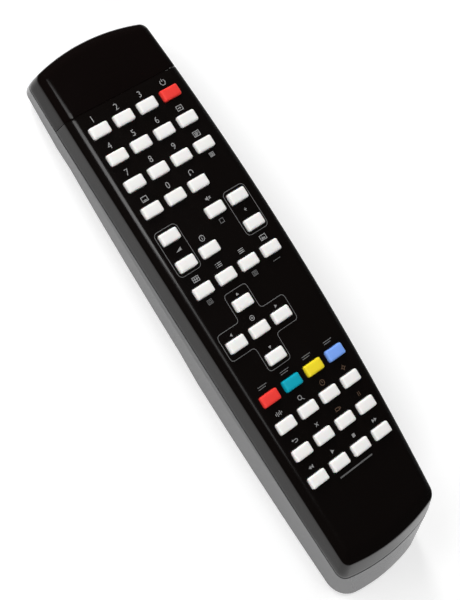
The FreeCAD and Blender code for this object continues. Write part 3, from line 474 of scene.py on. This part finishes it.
BLACK_SHELL = plastic("black_shell", (0.0032, 0.0022, 0.0019), 0.15,
                      grain_depth=0.02, wear=0.04, specular=0.34)
LOWER_SHELL = plastic("lower_shell_black", (0.085, 0.085, 0.087), 0.22,
                      grain_depth=0.04, wear=0.03, specular=0.9)
SMOKED_WINDOW = plastic("smoked_window", (0.0036, 0.0022, 0.0020), 0.12,
                        grain_depth=0.01, wear=0.03, specular=0.2)
WHITE_PRINT = plastic("white_print", (0.29, 0.29, 0.29), 0.6)
DIM_PRINT = plastic("dim_print", (0.13, 0.13, 0.13), 0.6)
BROWN_PRINT = plastic("brown_print", (0.085, 0.05, 0.03), 0.6)
WHITE_RUBBER = rubber("white_rubber", (0.89, 0.88, 0.86))
RED_RUBBER = rubber("red_rubber", (0.87, 0.05, 0.04))
TEAL_RUBBER = rubber("teal_rubber", (0.003, 0.36, 0.48))
YELLOW_RUBBER = rubber("yellow_rubber", (0.88, 0.70, 0.025))
BLUE_RUBBER = rubber("blue_rubber", (0.20, 0.38, 0.90))
GREY_RUBBER = rubber("grey_rubber", (0.30, 0.30, 0.30))
BOARD_LACQUER = plastic("board_lacquer", (0.20, 0.10, 0.03), 0.35)
CHIP_EPOXY = plastic("chip_epoxy", (0.02, 0.02, 0.02), 0.5)
LAMP_EPOXY = plastic("lamp_epoxy", (0.06, 0.05, 0.09), 0.08, grain_depth=0.0)
NICKEL = metal("nickel", (0.72, 0.70, 0.66), 0.22)
ZINC = metal("zinc", (0.55, 0.56, 0.58), 0.3)
CELL_SLEEVE = cell_sleeve()


# Upper casing: one closed wall with the face, the bevel, the parting edge, the inside and the
# key openings, cut across into the shell and the smoked window.

BEVEL_SLOPE = math.atan2(BEVEL_DEPTH, BEVEL_WIDTH)
BEVEL_ROUND = 4.65
BEVEL_STEPS = 8
BEVEL_TURNS = [BEVEL_SLOPE * step / BEVEL_STEPS for step in range(BEVEL_STEPS + 1)]
# The lower shell's lip sits in a step round the inside of the casing's parting edge.
LIP_WALL = 0.85
LIP_DEPTH = 1.3
PARTING_GROOVE = 0.24
# The casing's wall in section, as rings: inset from the outline, drop under the face. They go
# over the bevel and its soft edges, down the outside, round the parting edge and up the inside.
OUTER_RINGS = [(BEVEL_WIDTH + BEVEL_ROUND * (math.tan(BEVEL_SLOPE / 2) - math.sin(turn)),
                BEVEL_ROUND * (1 - math.cos(turn))) for turn in BEVEL_TURNS]
OUTER_RINGS += [(1.2, 0.70), (0.55, 1.03), (0.26, 1.20), (0.10, 1.40), (0.02, 1.66), (0.0, 2.0)]
OUTER_RINGS += [(0.0, drop) for drop in (3.5, 5.2, 6.8)]
OUTER_RINGS += [(inset, SEAM_DROP - rise) for inset, rise in ((0.0, 0.6), (0.04, 0.42), (0.15, 0.3),
                                                               (0.35, PARTING_GROOVE))]
INNER_RINGS = [(LIP_WALL, SEAM_DROP - PARTING_GROOVE), (LIP_WALL, SEAM_DROP - LIP_DEPTH),
               (CASE_WALL, SEAM_DROP - LIP_DEPTH), (CASE_WALL, 4.0), (CASE_WALL, CASE_WALL)]
# The rim of a key's opening: how far it is wider than the opening, and its drop.
RIM_STEPS = [(0.16, 0.0), (0.08, 0.02), (0.025, 0.08), (0.0, 0.18)]
HOLE_MARGIN = 0.01


def opening_ring(x, y, grow, drop):
    half_x = KEY_LENGTH / 2 + OPENING_CLEARANCE + grow
    half_y = KEY_WIDTH / 2 + OPENING_CLEARANCE + grow
    flat = soft_rectangle(x, y, half_x, half_y, KEY_CORNER + OPENING_CLEARANCE + grow)
    return [Vector((point.x, point.y, arch(point.y, drop))) for point in flat]


def in_opening(grow):
    """A test of whether a point lies within a key's opening, widened so much."""
    wider = OPENING_CLEARANCE + grow - HOLE_MARGIN

    def test(point):
        return any(abs(point.x - x) < KEY_LENGTH / 2 + wider and abs(point.y - y) < KEY_WIDTH / 2 + wider
                   for _, x, y in key_places())
    return test


def casing():
    """The whole upper casing as a closed wall."""
    bm = bmesh.new()
    rings = [add_ring(bm, arch_ring(inset, drop)) for inset, drop in OUTER_RINGS + INNER_RINGS]
    for first, second in zip(rings, rings[1:]):
        join_rings(bm, first, second)
    face_holes = []
    ceiling_holes = []
    for _, x, y in key_places():
        rims = [add_ring(bm, opening_ring(x, y, grow, drop)) for grow, drop in RIM_STEPS + [(0, CASE_WALL)]]
        for first, second in zip(rims, rims[1:]):
            join_rings(bm, second, first)
        face_holes.append(rims[0])
        ceiling_holes.append(rims[-1])
    fill_sheet(bm, rings[0], face_holes, in_opening(RIM_STEPS[0][0]))
    fill_sheet(bm, rings[-1], ceiling_holes, in_opening(0), upward=False)
    bmesh.ops.recalc_face_normals(bm, faces=bm.faces)
    return bm


CUT_MARGIN = 0.3
SPLIT_BEVEL = 0.14


def on_outside(point, y):
    """Whether a point of a cut across the casing lies on its outer face, over the parting edge."""
    on_top = point.z > arch(y, CASE_WALL) + CUT_MARGIN
    on_side = abs(point.x) > FRONT_HALF_WIDTH - 2 * CUT_MARGIN
    return (on_top or on_side) and point.z > arch(y, SEAM_DROP) + CUT_MARGIN


def cut_across(bm, y, keep_front):
    """Cut the casing across at a deck place, close the cut and soften its outer edge."""
    side = 1 if keep_front else -1
    cut = bmesh.ops.bisect_plane(bm, geom=bm.verts[:] + bm.edges[:] + bm.faces[:], plane_co=(0, y, 0),
                                 plane_no=(0, side, 0), clear_inner=True)
    edges = [part for part in cut["geom_cut"] if isinstance(part, bmesh.types.BMEdge)]
    filled = bmesh.ops.triangle_fill(bm, use_beauty=True, edges=edges)
    for face in filled["geom"]:
        if isinstance(face, bmesh.types.BMFace) and face.normal.y * side > 0:
            face.normal_flip()
    outer = [edge for edge in edges if all(on_outside(vert.co, y) for vert in edge.verts)]
    bmesh.ops.bevel(bm, geom=outer, offset=SPLIT_BEVEL, segments=3, profile=0.5, affect="EDGES")


FACE_TOLERANCE = 0.0008
SHELL_CREASE = 40


def face_normals(item):
    """Shade the arched face with its true normals, so that its triangles don't show."""
    inverse = DECK.inverted()
    normals = []
    for vert in item.data.vertices:
        place = inverse @ vert.co
        on_face = abs(place.z - arch(place.y)) < FACE_TOLERANCE
        normals.append(arch_normal(place.y) if on_face else Vector((0, 0, 0)))
    item.data.normals_split_custom_set_from_vertices(normals)


def make_casing(name, y, keep_front, material, node):
    bm = casing()
    cut_across(bm, y, keep_front)
    item = new_object(name, bm)
    sharpen(item, SHELL_CREASE)
    face_normals(item)
    give(item, material)
    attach(item, "case")
    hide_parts(node)


make_casing("shell_top", WINDOW_SPLIT, False, BLACK_SHELL, "upper_shell")
make_casing("window_front", WINDOW_SPLIT + WINDOW_GAP, True, SMOKED_WINDOW, "ir_window")


# Keys: each a rounded rubber cap on a retaining flange, with a contact stem under it.

FLANGE_GAP = 0.3
FLANGE_TOP = -(CASE_WALL + FLANGE_GAP)
FLANGE_THICKNESS = 0.7
FLANGE_HALF = (4.2, 2.65)
STEM_HALF = (2.3, 1.1)
STEM_BOTTOM = 1.9
HIDDEN_CORNER = 0.3
LEAST_CAP_CORNER = 0.15
KEY_CREASE = 50
# The cap's rounded top, as rings: inset from the key's outline, depth under its top.
CAP_TOP = [(0.0, 0.62), (0.05, 0.36), (0.17, 0.18), (0.36, 0.07), (0.62, 0.03), (1.1, 0.01)]
CAP_RINGS = [(0.0, FLANGE_TOP), (0.0, 0.2)] + [(inset, KEY_RISE - depth) for inset, depth in CAP_TOP]


def key_mesh(y):
    """A key's mesh, measured from the middle of its place on the face."""
    bm = bmesh.new()
    surface = arch(y)
    stem_low = STEM_BOTTOM - surface
    flange_low = FLANGE_TOP - FLANGE_THICKNESS
    rings = []
    for (half_x, half_y), level in ((STEM_HALF, stem_low), (STEM_HALF, flange_low),
                                    (FLANGE_HALF, flange_low), (FLANGE_HALF, FLANGE_TOP)):
        flat = soft_rectangle(0, 0, half_x, half_y, HIDDEN_CORNER)
        rings.append(add_ring(bm, [(point.x, point.y, level) for point in flat]))
    for inset, level in CAP_RINGS:
        flat = soft_rectangle(0, 0, KEY_LENGTH / 2 - inset, KEY_WIDTH / 2 - inset,
                              max(KEY_CORNER - inset, LEAST_CAP_CORNER))
        rings.append(add_ring(bm, [(point.x, point.y, level) for point in flat]))
    for first, second in zip(rings, rings[1:]):
        join_rings(bm, second, first)
    bm.faces.new(rings[-1])
    bm.faces.new(rings[0][::-1])
    bmesh.ops.recalc_face_normals(bm, faces=bm.faces)
    return bm


# The coloured keys: material and the record's slot. All others are white.
COLOURED_KEYS = {"power": (RED_RUBBER, "key_red"), "red": (RED_RUBBER, "key_red"),
                 "green": (TEAL_RUBBER, "key_teal"), "yellow": (YELLOW_RUBBER, "key_yellow"),
                 "blue": (BLUE_RUBBER, "key_blue")}
PLAIN_KEY = (WHITE_RUBBER, "key_white")

for key_name, key_x, key_y in key_places():
    key = new_object(f"cap_{key_name}", key_mesh(key_y),
                     DECK @ Matrix.Translation((key_x, key_y, arch(key_y))))
    sharpen(key, KEY_CREASE)
    key_material, key_slot = COLOURED_KEYS.get(key_name, PLAIN_KEY)
    give(key, key_material)
    give(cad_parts[f"key_{key_name}"], key_material)
    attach(key, f"{key_name}_key")
    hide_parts(f"key_{key_name}")


# Print on the face: thin ink laid on the arch.

INK = 0.02


def ink_point(point):
    return Vector((point[0], point[1], arch(point[1]) + INK))


def stroke(bm, points, width, closed=False):
    """A line of ink of even width through points, mitred at its corners."""
    points = [Vector(point) for point in points]
    count = len(points)
    left, right = [], []
    for index, point in enumerate(points):
        before = points[index - 1] if closed or index else None
        after = points[(index + 1) % count] if closed or index < count - 1 else None
        into = (after - point).normalized() if before is None else (point - before).normalized()
        out = into if after is None else (after - point).normalized()
        along = (into + out).normalized() if (into + out).length > 1e-6 else into
        across = Vector((-along.y, along.x))
        reach = width / 2 / max(across.dot(Vector((-into.y, into.x))), 0.5)
        left.append(bm.verts.new(ink_point(point + across * reach)))
        right.append(bm.verts.new(ink_point(point - across * reach)))
    for index in range(count if closed else count - 1):
        following = (index + 1) % count
        bm.faces.new((right[index], right[following], left[following], left[index]))


def patch(bm, points):
    """A filled area of ink."""
    bm.faces.new([bm.verts.new(ink_point(point)) for point in points])


def sweep(radius, start, end, steps=20, cx=0.0, cy=0.0):
    """An open arc between two angles."""
    angles = [math.radians(start + (end - start) * step / steps) for step in range(steps + 1)]
    return ("line", [(cx + radius * math.cos(angle), cy + radius * math.sin(angle)) for angle in angles])


def circle(radius, count=20, cx=0.0, cy=0.0):
    """A closed circle of so many points."""
    return ("loop", sweep(radius, 0, 360 * (count - 1) / count, count - 1, cx, cy)[1])


def dot(radius):
    return ("patch", circle(radius, 12)[1])


def box(half_x, half_y):
    return ("loop", [(-half_x, -half_y), (half_x, -half_y), (half_x, half_y), (-half_x, half_y)])


def rule(start, end, y):
    return ("line", [(start, y), (end, y)])


def post(x, low, high):
    return ("line", [(x, low), (x, high)])


LINE = 0.26

# Each sign is a list of lines, closed loops and filled patches within about a millimetre or two
# of its middle.
SIGNS = {
    "power": [sweep(0.95, 125, 415), post(0, 0.3, 1.25)],
    "source": [box(1.1, 0.8), rule(-0.7, 0.2, 0), ("patch", [(0.1, 0.4), (0.1, -0.4), (0.7, 0)])],
    "text": [box(1.2, 0.85), rule(-0.8, 0.8, 0.35), rule(-0.8, 0.8, -0.05), rule(-0.8, 0.3, -0.45)],
    "subtitle": [box(1.1, 0.8), rule(-0.7, 0.7, -0.4)],
    "recall": [sweep(0.8, -40, 230), ("patch", [(-1.1, -0.3), (-0.2, -0.5), (-0.8, -1.0)])],
    "mute": [("patch", [(-1.0, -0.3), (-0.5, -0.3), (0.1, -0.85), (0.1, 0.85), (-0.5, 0.3), (-1.0, 0.3)]),
             ("line", [(0.45, -0.4), (1.15, 0.4)]), ("line", [(0.45, 0.4), (1.15, -0.4)])],
    "info": [circle(0.95), post(0, -0.5, 0.2), post(0, 0.4, 0.6)],
    "guide": [box(1.2, 0.8), post(-0.4, -0.8, 0.8), post(0.4, -0.8, 0.8), rule(-1.2, 1.2, 0)],
    "list": [rule(-0.5, 1.2, y) for y in (0.6, 0, -0.6)] + [rule(-1.2, -0.85, y) for y in (0.6, 0, -0.6)],
    "menu": [rule(-1.1, 1.1, y) for y in (0.6, 0, -0.6)],
    "picture": [box(1.2, 0.8), ("patch", [(-0.9, -0.5), (0.9, -0.5), (0.4, 0.1), (0.0, -0.2), (-0.4, 0.4)])],
    "bar": [rule(-1.5, 1.5, 0)],
    "label": [rule(-1.9, 1.9, 0.35), rule(-1.9, 1.1, -0.35)],
    "square": [box(0.75, 0.7)],
    "frame": [box(0.9, 0.7), box(0.4, 0.3)],
    "up": [("patch", [(-0.6, -0.4), (0.6, -0.4), (0, 0.55)])],
    "down": [("patch", [(-0.6, 0.4), (0, -0.55), (0.6, 0.4)])],
    "left": [("patch", [(0.4, -0.6), (0.4, 0.6), (-0.55, 0)])],
    "right": [("patch", [(-0.4, 0.6), (-0.4, -0.6), (0.55, 0)])],
    "enter": [circle(0.8), dot(0.3)],
    "audio": [post(-1.2, -0.4, 0.4), post(-0.6, -0.8, 0.8), post(0, -0.5, 0.5), post(0.6, -0.8, 0.8),
              post(1.2, -0.3, 0.3)],
    "zoom": [circle(0.7, cx=-0.3, cy=0.25), ("line", [(0.2, -0.25), (1.0, -0.95)])],
    "timer": [circle(0.9), ("line", [(0, 0.55), (0, 0), (0.45, 0)])],
    "tools": [circle(0.5, 12), post(0, 0.5, 1.0), post(0, -0.5, -1.0), rule(0.5, 1.0, 0),
              rule(-0.5, -1.0, 0)],
    "return": [("line", [(-0.9, 0.3), (0.6, 0.3), (1.0, 0), (1.0, -0.3), (0.6, -0.6), (-0.4, -0.6)]),
               ("patch", [(-0.7, -0.1), (-0.7, 0.8), (-1.3, 0.3)])],
    "exit": [("line", [(-0.6, -0.6), (0.6, 0.6)]), ("line", [(-0.6, 0.6), (0.6, -0.6)])],
    "usb": [("loop", [(-1.0, -0.45), (0.5, -0.45), (0.5, 0.45), (-1.0, 0.45)]),
            ("line", [(0.5, 0.22), (1.1, 0.22), (1.1, -0.22), (0.5, -0.22)])],
    "still": [post(-0.35, -0.7, 0.7), post(0.35, -0.7, 0.7)],
    "rewind": [("patch", [(0.0, -0.65), (0.0, 0.65), (-1.0, 0)]),
               ("patch", [(1.0, -0.65), (1.0, 0.65), (0.0, 0)])],
    "play": [("patch", [(-0.55, 0.7), (-0.55, -0.7), (0.7, 0)])],
    "stop": [("patch", [(-0.6, -0.6), (0.6, -0.6), (0.6, 0.6), (-0.6, 0.6)])],
    "forward": [("patch", [(-1.0, 0.65), (-1.0, -0.65), (0.0, 0)]),
                ("patch", [(0.0, 0.65), (0.0, -0.65), (1.0, 0)])],
    "plus": [rule(-0.6, 0.6, 0), post(0, -0.6, 0.6)],
    "wedge": [("patch", [(-1.3, -0.5), (1.3, -0.5), (1.3, 0.75)])],
}


def draw_sign(bm, sign, x, y, size=1.0):
    for kind, points in SIGNS[sign]:
        placed = [(x + px * size, y + py * size) for px, py in points]
        if kind == "patch":
            patch(bm, placed)
        else:
            stroke(bm, placed, LINE, closed=(kind == "loop"))


def outline_box(bm, low_x, high_x, low_y, high_y, radius, width):
    flat = soft_rectangle((low_x + high_x) / 2, (low_y + high_y) / 2, (high_x - low_x) / 2,
                          (high_y - low_y) / 2, radius)
    stroke(bm, [(point.x, point.y) for point in flat], width, closed=True)


PLACES = {name: (x, y) for name, x, y in key_places()}

# Where a sign stands: its middle over or under the middle of its key. The arrows stand closer.
ABOVE = 4.25
CLOSE_ABOVE = 3.3
BELOW = -4.1
LETTERED_KEYS = ("power", "source", "text", "subtitle", "recall", "mute", "info", "guide", "list", "menu",
                 "picture", "enter", "audio", "zoom", "return", "exit", "rewind", "play", "stop", "forward")
ARROW_KEYS = ("up", "left", "right", "down")
BROWN_KEYS = ("timer", "tools", "usb", "still")
COLOUR_ROW = ("red", "green", "yellow", "blue")

WHITE_SIGNS = ([(key_name, key_name, ABOVE) for key_name in LETTERED_KEYS]
               + [(key_name, key_name, CLOSE_ABOVE) for key_name in ARROW_KEYS])
DIM_SIGNS = ([("mute", "square", BELOW), ("guide", "frame", BELOW), ("menu", "frame", BELOW),
              ("picture", "bar", BELOW)]
             + [(key_name, "label", ABOVE) for key_name in COLOUR_ROW])
BROWN_SIGNS = [(key_name, key_name, ABOVE) for key_name in BROWN_KEYS]


def finish_print(name, bm, material):
    item = new_object(name, bm)
    give(item, material)
    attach(item, "case")


def signs_object(name, signs, material, more=None):
    """One material's signs, each given by its key, its sign and its rise over the key."""
    bm = bmesh.new()
    for key_name, sign, rise in signs:
        x, y = PLACES[key_name]
        draw_sign(bm, sign, x, y + rise)
    if more:
        more(bm)
    finish_print(name, bm, material)


SMALL_SIGN = 0.9


def white_extras(bm):
    """Signs that stand between keys, and one a little aside under the text key."""
    x, y = PLACES["volume_up"]
    draw_sign(bm, "wedge", x + 0.3, y - ROW_PITCH / 2, SMALL_SIGN)
    x, y = PLACES["channel_up"]
    draw_sign(bm, "plus", x, y - ROW_PITCH / 2, SMALL_SIGN)
    x, y = PLACES["text"]
    draw_sign(bm, "frame", x + 0.6, y - 4.0, SMALL_SIGN)


THIN_LINE = 0.22
RULE_WIDTH = 0.5
RULE_HALF = 7.4
RULE_DROP = 4.3
PAIR_BOX_SIDE = 4.6
PAIR_BOX_END = 3.1
PAIR_BOX_CORNER = 1.6
# The outline round the direction pad: a cross measured from the enter key, with round corners.
CROSS_ARM = 4.75
CROSS_OUT = 14.6
CROSS_LEVELS = (14.9, 5.4, -4.0, -13.2)
CROSS_CORNER = 1.5
CORNER_STEPS = 6


def dim_lines(bm):
    """The boxes round the paired keys and round the direction pad, and the last row's rule."""
    for top, bottom in (("volume_up", "volume_down"), ("channel_up", "channel_down")):
        x, high = PLACES[top]
        low = PLACES[bottom][1]
        outline_box(bm, x - PAIR_BOX_SIDE, x + PAIR_BOX_SIDE, low - PAIR_BOX_END, high + PAIR_BOX_END,
                    PAIR_BOX_CORNER, THIN_LINE)
    x, y = PLACES["enter"]
    top, shoulder, hip, foot = CROSS_LEVELS
    right_half = [(CROSS_ARM, shoulder), (CROSS_OUT, shoulder), (CROSS_OUT, hip), (CROSS_ARM, hip),
                  (CROSS_ARM, foot)]
    left_half = [(-px, py) for px, py in reversed(right_half)]
    plan = right_half + left_half + [(-CROSS_ARM, top), (CROSS_ARM, top)]
    points = []
    for index, (px, py) in enumerate(plan):
        here = Vector((px, py))
        before = Vector(plan[index - 1])
        after = Vector(plan[(index + 1) % len(plan)])
        start = here + (before - here).normalized() * CROSS_CORNER
        end = here + (after - here).normalized() * CROSS_CORNER
        for step in range(CORNER_STEPS + 1):
            part = step / CORNER_STEPS
            bend = start * (1 - part) ** 2 + here * 2 * part * (1 - part) + end * part ** 2
            points.append((x + bend.x, y + bend.y))
    stroke(bm, points, THIN_LINE, closed=True)
    y = PLACES["play"][1]
    stroke(bm, [(-RULE_HALF, y - RULE_DROP), (RULE_HALF, y - RULE_DROP)], RULE_WIDTH)


signs_object("signs_white", WHITE_SIGNS, WHITE_PRINT, white_extras)
signs_object("signs_dim", DIM_SIGNS, DIM_PRINT, dim_lines)
signs_object("signs_brown", BROWN_SIGNS, BROWN_PRINT)


NUMERAL_SIZE = 3.1


def numeral(digit):
    """A plain numeral of ink above its key."""
    curve = bpy.data.curves.new(f"numeral_{digit}", "FONT")
    curve.body = str(digit)
    curve.size = NUMERAL_SIZE
    curve.align_x = "CENTER"
    curve.align_y = "CENTER"
    curve.resolution_u = 6
    text = bpy.data.objects.new(f"numeral_text_{digit}", curve)
    bpy.context.scene.collection.objects.link(text)
    bpy.context.view_layer.update()
    mesh = bpy.data.meshes.new_from_object(text)
    bpy.data.objects.remove(text)
    bm = bmesh.new()
    bm.from_mesh(mesh)
    bpy.data.meshes.remove(mesh)
    x, y = PLACES[f"digit_{digit}"]
    for vert in bm.verts:
        vert.co = ink_point((vert.co.x + x, vert.co.y + y + ABOVE))
    finish_print(f"numeral_{digit}", bm, WHITE_PRINT)


for digit in range(10):
    numeral(digit)


# CAD nodes that are shown as they are.

NODE_MATERIALS = {
    "lower_shell": LOWER_SHELL, "battery_door": LOWER_SHELL, "ir_led": LAMP_EPOXY,
    "circuit_board": BOARD_LACQUER, "keypad_sheet": GREY_RUBBER, "battery_left": CELL_SLEEVE,
    "battery_right": CELL_SLEEVE, "link_contact": NICKEL, "plate_contact": NICKEL,
    "spring_contact": NICKEL, "controller_chip": CHIP_EPOXY, "case_screws": ZINC}

NODE_CREASE = 22

for node_name, node_material in NODE_MATERIALS.items():
    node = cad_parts[node_name]
    give(node, node_material)
    node.data.shade_smooth()
    sharpen(node, NODE_CREASE)

# The casing's pieces replace these two nodes, which have the same materials.
give(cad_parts["upper_shell"], BLACK_SHELL)
give(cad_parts["ir_window"], SMOKED_WINDOW)


# Stage, in metres: a white table, soft light from the left, from ahead and from above, and the
# camera, with its lens and film in millimetres.

TABLE_HALF = 3.0
TABLE_COLOUR = (0.8, 0.8, 0.8, 1)
TABLE_LIFT = 0.4
WORLD_STRENGTH = 0.03

# Each lamp's place, size and power, and whether it shows in reflections. All aim at the origin.
LAMPS = {
    "overhead_softbox": ((0.08, 0.3, 1.2), (0.5, 0.36), 2.8, True),
    "overhead_fill": ((0.08, -0.03, 1.25), (0.5, 0.24), 0.7, True),
    "front_softbox": ((-0.95, 1.2, 0.8), (1.5, 0.95), 19.5, False),
    "rear_softbox": ((-0.95, -1.2, 0.8), (1.5, 0.95), 18, False),
    "low_front_softbox": ((0.35, 1.6, 0.45), (0.5, 0.4), 21, False),
}

CAMERA_PLACE = (-0.246735, 0.032522, 0.427413)
CAMERA_TURN = Quaternion((0.927512, 0.043682, -0.259995, -0.264984))
CAMERA_LENS = 90
CAMERA_FILM = 36
NEAREST_SEEN = 0.01


def white_table():
    """A white table, lifted a little towards plain white for the camera and in reflections."""
    bm = bmesh.new()
    bmesh.ops.create_grid(bm, x_segments=1, y_segments=1, size=TABLE_HALF)
    item = new_object("table_top", bm, Matrix.Identity(4))
    material, nodes, links, shader = new_material("white_table")
    shader.inputs["Base Color"].default_value = TABLE_COLOUR
    shader.inputs["Roughness"].default_value = 0.9
    shader.inputs["Emission Color"].default_value = (1, 1, 1, 1)
    path = nodes.new("ShaderNodeLightPath")
    seen = nodes.new("ShaderNodeMath")
    seen.operation = "MAXIMUM"
    lift = nodes.new("ShaderNodeMath")
    lift.operation = "MULTIPLY"
    lift.inputs[1].default_value = TABLE_LIFT
    links.new(path.outputs["Is Camera Ray"], seen.inputs[0])
    links.new(path.outputs["Is Glossy Ray"], seen.inputs[1])
    links.new(seen.outputs[0], lift.inputs[0])
    links.new(lift.outputs[0], shader.inputs["Emission Strength"])
    give(item, material)


def lamp(name, place, size, power, mirrored):
    data = bpy.data.lights.new(name, "AREA")
    data.shape = "RECTANGLE"
    data.size, data.size_y = size
    data.energy = power
    item = bpy.data.objects.new(name, data)
    item.location = place
    item.rotation_euler = (-Vector(place)).to_track_quat("-Z", "Y").to_euler()
    item.visible_glossy = mirrored
    bpy.context.scene.collection.objects.link(item)


def dim_world():
    world = bpy.data.worlds.new("studio")
    bpy.context.scene.world = world
    world.use_nodes = True
    backdrop = world.node_tree.nodes["Background"]
    backdrop.inputs["Color"].default_value = (1, 1, 1, 1)
    backdrop.inputs["Strength"].default_value = WORLD_STRENGTH


def photo_camera():
    data = bpy.data.cameras.new("camera")
    data.lens = CAMERA_LENS
    data.sensor_width = CAMERA_FILM
    data.clip_start = NEAREST_SEEN
    camera = bpy.data.objects.new("camera", data)
    camera.location = CAMERA_PLACE
    camera.rotation_mode = "QUATERNION"
    camera.rotation_quaternion = CAMERA_TURN
    bpy.context.scene.collection.objects.link(camera)
    bpy.context.scene.camera = camera


white_table()
for lamp_name, lamp_values in LAMPS.items():
    lamp(lamp_name, *lamp_values)
dim_world()
photo_camera()
bpy.context.scene.view_settings.view_transform = "Standard"
